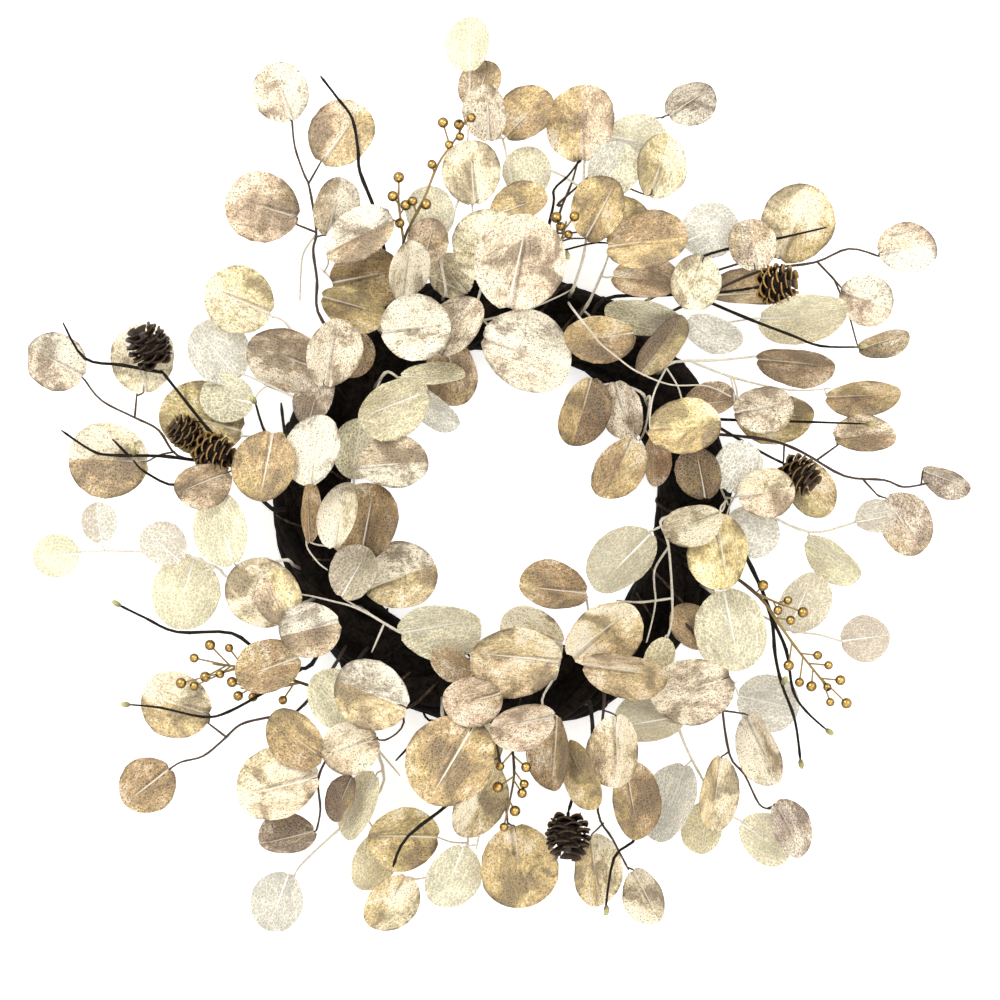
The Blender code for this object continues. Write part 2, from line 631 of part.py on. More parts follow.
class Crowd:
    # What is placed so far, for finding room among it.
    def __init__(self):
        self.pieces = []

    def add(self, node, kind, points, faces):
        tree = BVHTree.FromPolygons(points, faces)
        self.pieces.append((node, kind, tree, *box_of(points)))

    def is_clear(self, points, faces, node, own_kinds):
        # Pieces of the same node count only where their kind is listed.
        low, high = box_of(points)
        tree = None
        for other, kind, other_tree, other_low, other_high in self.pieces:
            if other == node and kind not in own_kinds:
                continue
            if any(low[k] > other_high[k] or high[k] < other_low[k] for k in range(3)):
                continue
            tree = tree or BVHTree.FromPolygons(points, faces)
            if tree.overlap(other_tree):
                return False
        return True


def box_of(points):
    low = [min(point[k] for point in points) for k in range(3)]
    high = [max(point[k] for point in points) for k in range(3)]
    return low, high


def mesh_lists(mesh):
    points = [vertex.co.copy() for vertex in mesh.vertices]
    faces = [tuple(face.vertices) for face in mesh.polygons]
    return points, faces


def tube_lists(path, radius):
    mesh = tube_mesh(path, radius)
    lists = mesh_lists(mesh)
    bpy.data.meshes.remove(mesh)
    return lists


def leaf_mesh(points, faces):
    mesh = bpy.data.meshes.new("leaf")
    mesh.from_pydata(points, [], faces)
    mesh.update()
    return mesh


# Berries, buds and cones.

def ball_mesh(centre, radii, direction, subdivisions=1):
    shape = bmesh.new()
    bmesh.ops.create_icosphere(shape, subdivisions=subdivisions, radius=1.0)
    turn = direction.to_track_quat("Z", "Y").to_matrix().to_4x4()
    size = Matrix.Diagonal((*radii, 1.0))
    shape.transform(Matrix.Translation(centre) @ turn @ size)
    return mesh_from_bmesh("ball", shape)


def cone_mesh(centre, direction, diameter, length):
    # An egg shape whose scales stand out in staggered rows.
    shape = bmesh.new()
    bmesh.ops.create_uvsphere(shape, u_segments=CONE_SIDES, v_segments=CONE_ROWS, radius=1.0)
    for vertex in shape.verts:
        place = vertex.co
        row = round(math.acos(max(-1.0, min(1.0, place.z))) / math.pi * CONE_ROWS)
        column = round(math.atan2(place.y, place.x) / math.tau * CONE_SIDES)
        if 0 < row < CONE_ROWS:
            out = 1.0 if (row + column) % 2 else 0.8
            slim = 1.0 - 0.12 * place.z
            vertex.co = Vector((place.x * out * slim, place.y * out * slim, place.z - 0.08 * (out - 0.8)))
    turn = direction.to_track_quat("Z", "Y").to_matrix().to_4x4()
    size = Matrix.Diagonal((diameter * 0.5, diameter * 0.5, length * 0.5, 1.0))
    shape.transform(Matrix.Translation(centre) @ turn @ size)
    return mesh_from_bmesh("cone", shape)


def bud_meshes(spray, paths):
    meshes = []
    for x, y, heading in spray.get("buds", []):
        path, _, along, _ = nearest_path(paths, plan_point(x, y))
        start = point_along(path, max(along - 1.5 * MM, 0.0))
        turn = math.radians(heading)
        direction = Vector((math.cos(turn), math.sin(turn), 0.3)).normalized()
        centre = start + direction * BUD_LENGTH * 0.45
        meshes.append(ball_mesh(centre, (BUD_RADIUS, BUD_RADIUS, BUD_LENGTH * 0.5), direction))
    return meshes


def berry_meshes(spray, paths):
    meshes = []
    for x, y, rise in spray.get("berries", []):
        place = plan_point(x, y)
        path, gap, along, _ = nearest_path(paths, place)
        start = point_along(path, max(along - 0.8 * gap - 2 * MM, 2 * MM))
        place.z = start.z + rise * MM
        meshes.append(tube_mesh([start, place], STALK_RADIUS))
        size = BERRY_RADIUS * (1.0 + 0.12 * sway(x, y, 1))
        meshes.append(ball_mesh(place, (size, size, size), (place - start).normalized()))
    return meshes


def cone_meshes(spray, paths):
    meshes = []
    for x, y, heading, diameter, length in spray.get("cones", []):
        place = plan_point(x, y)
        path, _, along, _ = nearest_path(paths, place)
        start = point_along(path, along)
        turn = math.radians(heading)
        direction = Vector((math.cos(turn), math.sin(turn), 0.25)).normalized()
        place.z = start.z + 4 * MM
        meshes.append(cone_mesh(place, direction, diameter * MM, length * MM))
        if (place - start).length > 0.35 * length * MM:
            meshes.append(tube_mesh([start, place], spray["radius"] * MM * 0.8))
    return meshes


def stem_meshes(spray, lift):
    paths = spray_paths(spray, lift)
    radius = spray.get("radius", STEM_RADIUS) * MM
    meshes = []
    for index, path in enumerate(paths):
        if index == 0:
            meshes.append(tube_mesh(path, radius, TIP_THINNING))
        else:
            meshes.append(tube_mesh(path, radius * BRANCH_THINNING, TIP_THINNING, SUNK_SHARE))
    extras = bud_meshes(spray, paths) + berry_meshes(spray, paths) + cone_meshes(spray, paths)
    return paths, meshes + extras


def place_stems(crowd, sprays):
    # Every stem takes the first lift that clears all stems before it.
    placed = {}
    for node, spray in sprays.items():
        for step in STEM_LIFTS:
            paths, meshes = stem_meshes(spray, step * MM)
            lists = [mesh_lists(mesh) for mesh in meshes]
            if stems_clear(crowd, spray, node, paths, lists):
                break
        else:
            raise ValueError("no clear height for the stem of " + node)
        for points, faces in lists:
            crowd.add(node, "stem", points, faces)
        placed[node] = (paths, meshes)
    return placed


def stems_clear(crowd, spray, node, paths, lists):
    radius = spray.get("radius", STEM_RADIUS) * MM + STEM_CLEARANCE
    for path in paths:
        points, faces = tube_lists(path, radius)
        if not crowd.is_clear(points, faces, node, ()):
            return False
        if min(point.z for point in path[1:]) < FLOOR_CLEARANCE:
            return False
    for points, faces in lists[len(paths):]:
        if not crowd.is_clear(points, faces, node, ()):
            return False
    return True


def leaf_fits(crowd, node, points, faces, border, strict):
    if min(point.z for point in points) < FLOOR_CLEARANCE:
        return False
    half = BLADE_THICKNESS * 0.5 + LEAF_CLEARANCE
    skin, shell = thick_shell(points, faces, border, half)
    if not crowd.is_clear(skin, shell, node, ()):
        return False
    if not strict:
        return True
    hub = len(points) - 1
    blade_faces = [face for face in faces if hub in face]
    used = sorted({index for face in blade_faces for index in face})
    order = {old: new for new, old in enumerate(used)}
    blade_points = [points[index] for index in used]
    blade = [tuple(order[index] for index in face) for face in blade_faces]
    skin, shell = thick_shell(blade_points, blade, len(used) - 1, half)
    return crowd.is_clear(skin, shell, node, ("stem", "leaf"))


def place_leaf(crowd, node, leaf, paths):
    for strict in (True, False):
        for step in LEAF_LIFTS:
            for tilt in LEAF_TILTS:
                points, faces, border = leaf_surface(leaf, paths, tilt, step * MM)
                if leaf_fits(crowd, node, points, faces, border, strict):
                    skin, shell = thick_shell(points, faces, border, BLADE_THICKNESS * 0.5)
                    crowd.add(node, "leaf", skin, shell)
                    return leaf_mesh(points, faces)
    raise ValueError("no clear place for the leaf at %d, %d of %s" % (leaf[0], leaf[1], node))


def place_leaves(crowd, stems):
    waiting = []
    for node, spray in LEAFY_SPRAYS.items():
        for leaf in spray["leaves"]:
            paths = stems[node][0]
            points, _, _ = leaf_surface(leaf, paths, (1, 1), 0.0)
            waiting.append((points[-1].z, node, leaf))
    placed = {node: [] for node in LEAFY_SPRAYS}
    for _, node, leaf in sorted(waiting):
        placed[node].append(place_leaf(crowd, node, leaf, stems[node][0]))
    return placed


# Joining.

def joined_object(name, meshes, leaves, material, collection):
    group = bpy.data.collections.new(name + "_pieces")
    bpy.context.scene.collection.children.link(group)
    body = mesh_object(name, meshes[0], collection)
    for mesh in meshes[1:]:
        mesh_object("piece", mesh, group)
    for mesh in leaves:
        blade = mesh_object("leaf", mesh, group)
        thicken = blade.modifiers.new("thickness", "SOLIDIFY")
        thicken.thickness = BLADE_THICKNESS
        thicken.offset = 0.0
    if group.objects:
        join = body.modifiers.new("join", "BOOLEAN")
        join.operation = "UNION"
        join.operand_type = "COLLECTION"
        join.collection = group
        join.solver = "MANIFOLD"
        body.data = evaluated_mesh(body)
        body.modifiers.clear()
    for item in list(group.objects):
        bpy.data.objects.remove(item, do_unlink=True)
    bpy.data.collections.remove(group)
    body.data.name = name
    body.data.materials.clear()
    body.data.materials.append(material)
    return body


def ring_point(turn, around):
    # The bundle's outside: vines that twist round its middle line, flat underneath.
    lobe = math.cos(VINE_COUNT * around)
    swell = 1.0 + VINE_SWELL * lobe + 0.03 * math.sin(7.0 * turn) * math.sin(around + 2.0 * turn)
    angle = around + VINE_TURNS * turn
    reach = RING_RADIUS + RING_HALF_WIDTH * swell * math.cos(angle)
    height = RING_LIFT + RING_HALF_HEIGHT * swell * math.sin(angle)
    middle = plan_point(*RING_MIDDLE)
    return middle + Vector((reach * math.cos(turn), reach * math.sin(turn), max(0.0, height)))


def ring_mesh():
    shape = bmesh.new()
    section = VINE_COUNT * POINTS_PER_VINE
    rows = []
    for step in range(RING_STEPS):
        turn = math.tau * step / RING_STEPS
        rows.append([shape.verts.new(ring_point(turn, math.tau * k / section)) for k in range(section)])
    for row, following in zip(rows, rows[1:] + rows[:1]):
        for k in range(section):
            after = (k + 1) % section
            shape.faces.new((row[k], following[k], following[after], row[after]))
    return mesh_from_bmesh("bundle", shape)


def bore_meshes(stems):
    meshes = []
    for node, (paths, _) in stems.items():
        spray = ALL_SPRAYS[node]
        # The hole's flat walls clear the stem however its sides are turned.
        radius = (spray.get("radius", STEM_RADIUS) * MM + HOLE_GAP) / math.cos(math.pi / BAR_SIDES)
        start, collar = paths[0][:2]
        below = start - (collar - start).normalized() * HOLE_END_GAP
        meshes.append(tube_mesh([below, collar], radius))
    return meshes


ALL_SPRAYS = {**TWIGS, **BERRY_SPRAYS, **LEAFY_SPRAYS}


def material_name(node):
    if node.startswith("gold_spray"):
        return "gold_leaf"
    if node.startswith("pale"):
        return "pale_leaf"
    if node.startswith("berry"):
        return "gold_berry"
    return "cone" if node.startswith("cone") else "dark_twig"


def build():
    clear_scene()
    wreath = bpy.data.collections.new("eucalyptus_wreath")
    cutters = bpy.data.collections.new("cutters")
    bpy.context.scene.collection.children.link(wreath)
    bpy.context.scene.collection.children.link(cutters)
    profile = bar_profile(bpy.context.scene.collection)
    materials = {name: make_material(name) for name in COLOURS}
    ring = mesh_object("vine_ring", ring_mesh(), wreath)
    ring.data.materials.append(materials["vine"])
    crowd = Crowd()
    crowd.add("vine_ring", "ring", *mesh_lists(ring.data))
    room = Crowd()
    stems = place_stems(room, ALL_SPRAYS)
    crowd.pieces += room.pieces
    leaves = place_leaves(crowd, stems)
    for mesh in bore_meshes(stems):
        cutter = mesh_object("bore", mesh, cutters)
        cutter.hide_render = True
        cutter.display_type = "WIRE"
    bore = ring.modifiers.new("bores", "BOOLEAN")
    bore.operation = "DIFFERENCE"
    bore.operand_type = "COLLECTION"
    bore.collection = cutters
    for node in ALL_SPRAYS:
        material = materials[material_name(node)]
        body = joined_object(node, stems[node][1], leaves.get(node, []), material, wreath)
        if node.startswith(("cone", "berry")):
            body.data.shade_smooth()
            body.data.set_sharp_from_angle(angle=math.radians(35.0))
    bpy.data.objects.remove(profile, do_unlink=True)


build()
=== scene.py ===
import math

import bpy
from mathutils import Matrix, Vector
from mathutils.bvhtree import BVHTree


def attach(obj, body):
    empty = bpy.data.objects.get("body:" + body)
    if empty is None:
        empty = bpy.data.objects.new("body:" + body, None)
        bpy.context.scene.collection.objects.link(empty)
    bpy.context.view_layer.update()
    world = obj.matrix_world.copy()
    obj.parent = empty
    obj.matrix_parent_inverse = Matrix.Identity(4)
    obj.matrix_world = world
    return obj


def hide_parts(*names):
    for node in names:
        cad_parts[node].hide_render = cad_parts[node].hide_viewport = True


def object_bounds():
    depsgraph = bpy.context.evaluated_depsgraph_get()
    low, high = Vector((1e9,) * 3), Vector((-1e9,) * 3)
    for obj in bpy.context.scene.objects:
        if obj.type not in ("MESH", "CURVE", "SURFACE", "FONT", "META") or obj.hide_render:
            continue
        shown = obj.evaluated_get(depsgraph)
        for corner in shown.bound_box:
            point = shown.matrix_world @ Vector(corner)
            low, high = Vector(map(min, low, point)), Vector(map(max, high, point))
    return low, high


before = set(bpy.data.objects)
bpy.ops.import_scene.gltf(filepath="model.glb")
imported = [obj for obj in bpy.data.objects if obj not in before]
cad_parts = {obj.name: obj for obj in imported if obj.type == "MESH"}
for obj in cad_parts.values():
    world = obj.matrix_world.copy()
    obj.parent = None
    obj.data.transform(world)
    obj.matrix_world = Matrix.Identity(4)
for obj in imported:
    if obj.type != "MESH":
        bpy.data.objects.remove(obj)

# A eucalyptus wreath lying face up: a dark vine ring with gold and pale leaf sprays,
# bare twigs, berries and small cones. Metres, +Z up, laid out by the plan below.
cadBox = [list(corner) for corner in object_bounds()]

# Plan places are in the photograph's 1000 by 1000 frame, x right and y down.
plan = dict(step=0.0006435, middle=(496.5, 474.0), view=(500.0, 500.0))
mm = 0.001

# The vine ring, and how stems leave it and come down outside it.
ring = dict(middle=(502.0, 503.0), radius=0.124, strands=11, strandRadius=0.0072, coreRadius=0.0115,
            turns=3, halfWidth=0.0165, halfHeight=0.0145, lift=0.0225, rows=132, sides=10,
            tone=(0.0055, 0.004, 0.003))
stems = dict(root=0.022, collar=0.054, collarReach=0.008, high=0.057, low=0.022, shoulder=0.032,
             fall=0.26, radius=0.0011, branch=0.8, tip=0.55, petiole=0.00062, sides=8, knot=0.22,
             dark=(0.075, 0.048, 0.036), cream=(0.80, 0.73, 0.60), rootTone=(0.016, 0.011, 0.008),
             rootFade=0.04, rootEdge=6)

# Gold sprays come first, then pale ones. A root is an angle and an offset in mm, rise is in mm.
# The first route leaves the ring, and each later one branches from the nearest stem. Stems are
# cream where no skin is named.
# A leaf: x, y, heading in degrees, length and breadth in mm, rise above its stem in mm, and its
# colouring on the left and right of the midrib, partly the leaf's own colour and partly painted light and
# shade from the fold.
leafySprays = {
    "gold_spray_01": dict(root=(137, 5), rise=0, skin="dark",
        routes=[[(340, 345), (318, 312), (317, 280), (313, 250), (316, 231), (309, 187), (303, 172),
            (294, 145), (291, 117)], [(309, 183), (322, 158)], [(316, 232), (289, 221)]],
        leaves=[(280, 90, 109, 39, 39, 0, "PW"), (342, 133, 53, 45, 42, 4, "PG"),
            (261, 206, 163, 48, 45, 2, "PP"), (334, 206, 78, 38, 31, 14, "BW"),
            (331, 352, 80, 44, 36, 36, "SS")]),
    "gold_spray_02": dict(root=(147, 8), rise=2,
        routes=[[(318, 378), (300, 345), (285, 322), (270, 316)]],
        leaves=[(237, 300, 157, 46, 46, 0, "EL"), (288, 358, 160, 54, 42, 24, "SP")]),
    "gold_spray_03": dict(root=(125, 4), rise=0,
        routes=[[(372, 322), (345, 292), (320, 268)], [(380, 322), (398, 292), (406, 262), (420, 250)]],
        leaves=[(360, 236, 28, 48, 36, 20, "WB"), (368, 276, 12, 46, 32, 6, "BO"),
            (356, 306, -15, 43, 29, 28, "OG"), (405, 270, 82, 38, 27, 22, "CW"),
            (430, 240, 74, 29, 27, 4, "PP"), (418, 328, 5, 45, 43, 44, "SW"),
            (456, 326, 62, 44, 34, 26, "YS"), (455, 374, -72, 42, 36, 14, "PB")]),
    "gold_spray_04": dict(root=(101, -6), rise=2,
        routes=[[(478, 300), (484, 268), (474, 232), (472, 195)], [(485, 322), (498, 337)]],
        leaves=[(487, 246, 100, 48, 46, 28, "EC"), (472, 172, 94, 41, 39, 2, "CC"),
            (528, 353, -20, 60, 53, 26, "WS")]),
    "gold_spray_05": dict(root=(91, 3), rise=4,
        routes=[[(508, 290), (520, 250), (516, 205), (508, 165), (503, 140), (490, 118)]],
        leaves=[(518, 262, 78, 62, 58, 36, "SP"), (520, 207, 18, 38, 28, 12, "GB"),
            (527, 113, 47, 40, 34, 0, "GB"), (488, 112, 92, 36, 30, 8, "SS"),
            (482, 84, 70, 33, 28, -6, "YG")]),
    "gold_spray_06": dict(root=(79, 6), rise=2, skin="dark",
        routes=[[(546, 285), (556, 240), (560, 212), (572, 182), (578, 160)], [(559, 203), (596, 170),
            (610, 155), (640, 122), (665, 116)]],
        leaves=[(581, 121, 90, 51, 46, 0, "GP"), (602, 210, 60, 43, 36, 12, "GG"),
            (622, 219, 15, 38, 32, -4, "OG"), (691, 99, 35, 34, 29, 0, "YW"),
            (660, 165, 70, 42, 34, 6, "OC")]),
    "gold_spray_07": dict(root=(68, 0), rise=2,
        routes=[[(590, 300), (604, 268), (610, 250)]],
        leaves=[(647, 242, 8, 52, 40, 28, "BG"), (646, 280, -5, 43, 30, 14, "PB"),
            (598, 340, 190, 45, 33, 34, "BG")]),
    "gold_spray_08": dict(root=(59, 6), rise=0, skin="dark",
        routes=[[(630, 310), (668, 290), (712, 272), (756, 258), (787, 246)]],
        leaves=[(797, 222, 65, 52, 48, 6, "CG"), (752, 244, 95, 34, 34, 14, "YP"),
            (694, 284, -110, 36, 33, 26, "EC"), (752, 294, 2, 52, 28, -6, "BG")]),
    "gold_spray_09": dict(root=(51, 9), rise=6, skin="dark",
        routes=[[(652, 322), (700, 298), (760, 271), (815, 262), (850, 248), (882, 256)], [(818, 262),
            (833, 277), (848, 294)]],
        leaves=[(910, 247, 10, 39, 35, 0, "PW"), (868, 300, -20, 36, 34, -2, "WP"),
            (885, 340, 18, 34, 19, -4, "BY")]),
    "gold_spray_10": dict(root=(40, 2), rise=0,
        routes=[[(675, 362), (720, 360), (758, 356)], [(690, 360), (735, 378), (790, 390), (832, 388)]],
        leaves=[(797, 362, -5, 50, 27, 2, "BP"), (865, 395, 2, 48, 25, 0, "GB"),
            (763, 407, 10, 38, 32, 24, "SS"), (775, 412, -5, 50, 34, 6, "OG"),
            (662, 346, 52, 46, 24, 20, "DO"), (710, 404, 5, 34, 24, 10, "DB"),
            (684, 427, 2, 46, 38, 34, "LG")]),
    "gold_spray_11": dict(root=(31, -11), rise=2,
        routes=[[(640, 392), (614, 384), (590, 388)], [(650, 398), (644, 432), (634, 446)]],
        leaves=[(582, 413, -105, 45, 34, 16, "DG"), (624, 411, -75, 38, 29, 4, "YS"),
            (618, 470, -115, 43, 34, 24, "GB"), (656, 462, -80, 32, 21, 2, "RB")]),
    "gold_spray_12": dict(root=(20, 4), rise=2, skin="dark",
        routes=[[(712, 434), (768, 440), (802, 452), (845, 476), (885, 480), (905, 487), (930, 483)],
            [(862, 479), (880, 497)], [(818, 458), (841, 443)]],
        leaves=[(949, 479, -20, 33, 20, 0, "YY"), (906, 525, -55, 42, 36, -2, "YP"),
            (866, 435, 6, 40, 27, 2, "SB"), (808, 490, -42, 42, 33, 12, "GO")]),
    "gold_spray_13": dict(root=(8, 5), rise=0,
        routes=[[(716, 480), (728, 505)]],
        leaves=[(766, 492, 8, 36, 33, 14, "CP"), (722, 553, -80, 48, 40, 24, "LL"),
            (690, 524, 200, 38, 29, 34, "EE"), (700, 472, 100, 34, 30, 20, "DD")]),
    "gold_spray_14": dict(root=(327, 7), rise=0, skin="dark",
        routes=[[(694, 632), (727, 668), (722, 700), (730, 755), (745, 775), (760, 805), (772, 810)]],
        leaves=[(690, 690, 200, 54, 46, 26, "SS"), (764, 749, -65, 48, 30, 8, "PW"),
            (792, 830, -58, 39, 28, 0, "YY"), (716, 795, -98, 48, 29, 0, "CG"),
            (690, 626, 120, 32, 27, 12, "BB")]),
    "gold_spray_15": dict(root=(309, -7), rise=2,
        routes=[[(598, 640), (590, 618), (586, 596)]],
        leaves=[(552, 590, 175, 44, 33, 10, "BB"), (602, 629, 40, 52, 42, 36, "CG"),
            (626, 669, -8, 54, 33, 26, "PG")]),
    "gold_spray_16": dict(root=(284, -3), rise=0,
        routes=[[(556, 676), (560, 660)], [(542, 700), (548, 722)]],
        leaves=[(514, 655, 172, 58, 48, 34, "PL"), (531, 632, 160, 42, 36, 16, "EE"),
            (521, 721, 190, 42, 32, 36, "PP"), (556, 753, -92, 48, 30, 8, "BB"),
            (581, 775, -68, 46, 26, 16, "GG")]),
    "gold_spray_17": dict(root=(299, 8), rise=2, skin="dark",
        routes=[[(604, 700), (600, 750), (598, 812), (613, 840), (629, 871)]],
        leaves=[(617, 751, -88, 46, 36, 24, "CP"), (632, 801, -80, 50, 34, 8, "BB"),
            (648, 897, -62, 37, 28, 0, "YC"), (595, 872, -84, 46, 34, -4, "CG")]),
    "gold_spray_18": dict(root=(267, 4), rise=0, skin="dark",
        routes=[[(494, 728), (502, 775), (508, 826)]],
        leaves=[(519, 868, -84, 54, 52, 0, "GG"), (478, 801, -105, 50, 36, 8, "OC"),
            (452, 762, -120, 60, 48, 22, "GB")]),
    "gold_spray_19": dict(root=(252, 2), rise=0,
        routes=[[(444, 722), (462, 790), (468, 842), (458, 860), (440, 875), (412, 881)]],
        leaves=[(402, 836, 177, 46, 42, 8, "GO"), (391, 905, -120, 41, 34, 0, "CG"),
            (472, 700, 195, 38, 34, 34, "PP"), (452, 663, 160, 30, 22, 20, "BB")]),
    "gold_spray_20": dict(root=(237, 5), rise=0, skin="dark",
        routes=[[(376, 700), (350, 728), (328, 757), (318, 780), (320, 810), (316, 832)], [(392, 688),
            (404, 722), (385, 740), (368, 734)]],
        leaves=[(371, 693, 160, 50, 46, 30, "GW"), (350, 748, 200, 37, 35, 12, "PC"),
            (295, 738, 145, 44, 36, 12, "BG"), (278, 788, 195, 54, 47, 4, "PC"),
            (286, 840, 195, 37, 28, -4, "YY"), (342, 799, -115, 31, 20, 6, "DD")]),
    "gold_spray_21": dict(root=(207, 8), rise=0,
        routes=[[(302, 604), (285, 616), (270, 622)]],
        leaves=[(310, 629, 195, 40, 37, 34, "BW"), (280, 596, 120, 36, 32, 26, "PL"),
            (262, 592, 150, 48, 46, 8, "CC"), (268, 668, 200, 42, 24, 0, "BB")]),
    "gold_spray_22": dict(root=(222, 8), rise=-2, skin="dark",
        routes=[[(330, 672), (296, 712), (266, 718), (240, 725), (222, 741), (202, 757), (180, 763),
            (167, 771)], [(226, 738), (205, 722)]],
        leaves=[(145, 788, 218, 38, 37, 0, "BB"), (174, 705, 165, 47, 44, 2, "GC")]),
    "gold_spray_23": dict(root=(170, 9), rise=0, skin="dark",
        routes=[[(268, 472), (222, 464), (178, 456), (158, 430), (133, 417), (100, 400), (82, 378)],
            [(134, 417), (136, 392)]],
        leaves=[(53, 361, 150, 40, 38, 0, "PW"), (142, 357, 92, 45, 43, 4, "CC"),
            (106, 460, 178, 53, 50, -4, "BC"), (203, 482, 200, 37, 30, 4, "PB")]),
    "gold_spray_24": dict(root=(161, 3), rise=4,
        routes=[[(288, 440), (262, 437), (240, 436)]],
        leaves=[(200, 420, 165, 54, 37, -6, "OO"), (314, 449, 85, 46, 38, 36, "WW"),
            (268, 468, -100, 45, 32, 18, "BG"), (316, 398, 75, 36, 27, 14, "YY")]),
    "gold_spray_25": dict(root=(191, -8), rise=2,
        routes=[[(340, 548), (352, 520), (354, 480), (352, 466)], [(340, 560), (364, 586)]],
        leaves=[(340, 514, 82, 43, 28, 34, "WC"), (368, 522, 78, 50, 30, 18, "BB"),
            (395, 464, 4, 44, 36, 20, "BW"), (401, 576, 20, 48, 44, 0, "WG"),
            (308, 511, 94, 40, 14, 22, "BB")]),
    "pale_spray_01": dict(root=(107, 10), rise=6,
        routes=[[(446, 290), (440, 246), (452, 218), (464, 180), (468, 130), (470, 72)]],
        leaves=[(469, 42, 92, 35, 30, 0, "KK")]),
    "pale_spray_02": dict(root=(72, 13), rise=4,
        routes=[[(574, 286), (586, 240), (584, 165), (600, 119), (616, 113)], [(585, 190), (556, 172),
            (540, 170)]],
        leaves=[(640, 141, -10, 40, 30, -6, "MF"), (527, 171, 100, 34, 33, -8, "MM")]),
    "pale_spray_03": dict(root=(54, -2), rise=8,
        routes=[[(640, 318), (664, 262), (678, 228)], [(652, 330), (704, 326), (756, 318)]],
        leaves=[(711, 230, 25, 39, 38, -4, "NN"), (642, 318, 170, 50, 24, 16, "MM"),
            (805, 318, 0, 58, 36, -10, "KK"), (714, 334, -30, 38, 26, 4, "VV")]),
    "pale_spray_04": dict(root=(14, 12), rise=6,
        routes=[[(725, 478), (765, 512), (810, 532), (850, 524), (862, 518)]],
        leaves=[(737, 466, 60, 34, 26, 4, "VV"), (836, 556, -30, 42, 26, -8, "KK"),
            (876, 519, 10, 26, 22, 0, "FS")]),
    "pale_spray_05": dict(root=(358, -6), rise=8,
        routes=[[(660, 522), (668, 545), (672, 610), (667, 638)], [(662, 526), (646, 533)], [(671, 598),
            (640, 602), (616, 600)]],
        leaves=[(622, 562, 225, 50, 38, 22, "TT"), (658, 655, -110, 24, 20, 12, "II")]),
    "pale_spray_06": dict(root=(338, 10), rise=2,
        routes=[[(716, 594), (762, 616), (795, 631), (820, 635), (843, 642)]],
        leaves=[(732, 631, -78, 52, 42, 0, "MM"), (801, 601, 68, 42, 34, -4, "CC"),
            (867, 638, 8, 32, 31, 0, "SS")]),
    "pale_spray_07": dict(root=(317, 12), rise=-2,
        routes=[[(666, 690), (684, 742), (702, 778), (722, 810), (744, 823)], [(700, 690), (738, 682)]],
        leaves=[(648, 722, 190, 44, 34, 12, "TT"), (672, 805, -110, 52, 36, -4, "VV"),
            (706, 830, -100, 34, 28, -8, "II"), (767, 842, -35, 38, 32, -4, "MM"),
            (770, 703, -12, 40, 38, -8, "NN")]),
    "pale_spray_08": dict(root=(261, 12), rise=6,
        routes=[[(474, 735), (484, 800), (476, 850)]],
        leaves=[(452, 878, -110, 42, 36, -4, "MM")]),
    "pale_spray_09": dict(root=(231, 14), rise=-2,
        routes=[[(366, 720), (384, 780), (356, 815), (330, 838), (299, 868), (291, 884)], [(374, 745),
            (400, 776)]],
        leaves=[(277, 905, -110, 39, 35, 0, "FF"), (358, 806, 240, 46, 27, 8, "II"),
            (372, 864, -100, 38, 30, -6, "II"), (334, 700, 130, 42, 24, 2, "KK")]),
    "pale_spray_10": dict(root=(214, -9), rise=8,
        routes=[[(370, 614), (400, 632), (416, 640)], [(384, 624), (372, 652)]],
        leaves=[(441, 624, 12, 53, 40, 12, "MM"), (356, 572, 60, 36, 32, 10, "ST")]),
    "pale_spray_11": dict(root=(199, 10), rise=2,
        routes=[[(282, 560), (232, 577), (216, 567), (180, 555), (110, 551), (66, 553)], [(216, 567),
            (196, 575)]],
        leaves=[(184, 593, -105, 48, 44, -4, "KK"), (222, 529, 110, 47, 38, 4, "KK"),
            (162, 546, 140, 32, 28, 4, "VS"), (54, 556, 185, 30, 30, 0, "KK"),
            (97, 522, 100, 26, 24, 0, "SV")]),
    "pale_spray_12": dict(root=(140, -13), rise=6,
        routes=[[(388, 372), (404, 384), (410, 400)]],
        leaves=[(392, 405, 200, 48, 38, 20, "II"), (436, 408, -35, 38, 22, 0, "VV"),
            (434, 379, -3, 42, 16, 14, "KK"), (356, 450, -100, 38, 34, -2, "MM")]),
    "pale_spray_13": dict(root=(153, 12), rise=2,
        routes=[[(300, 400), (262, 382), (238, 372)]],
        leaves=[(216, 352, 130, 44, 40, -4, "NN")]),
}

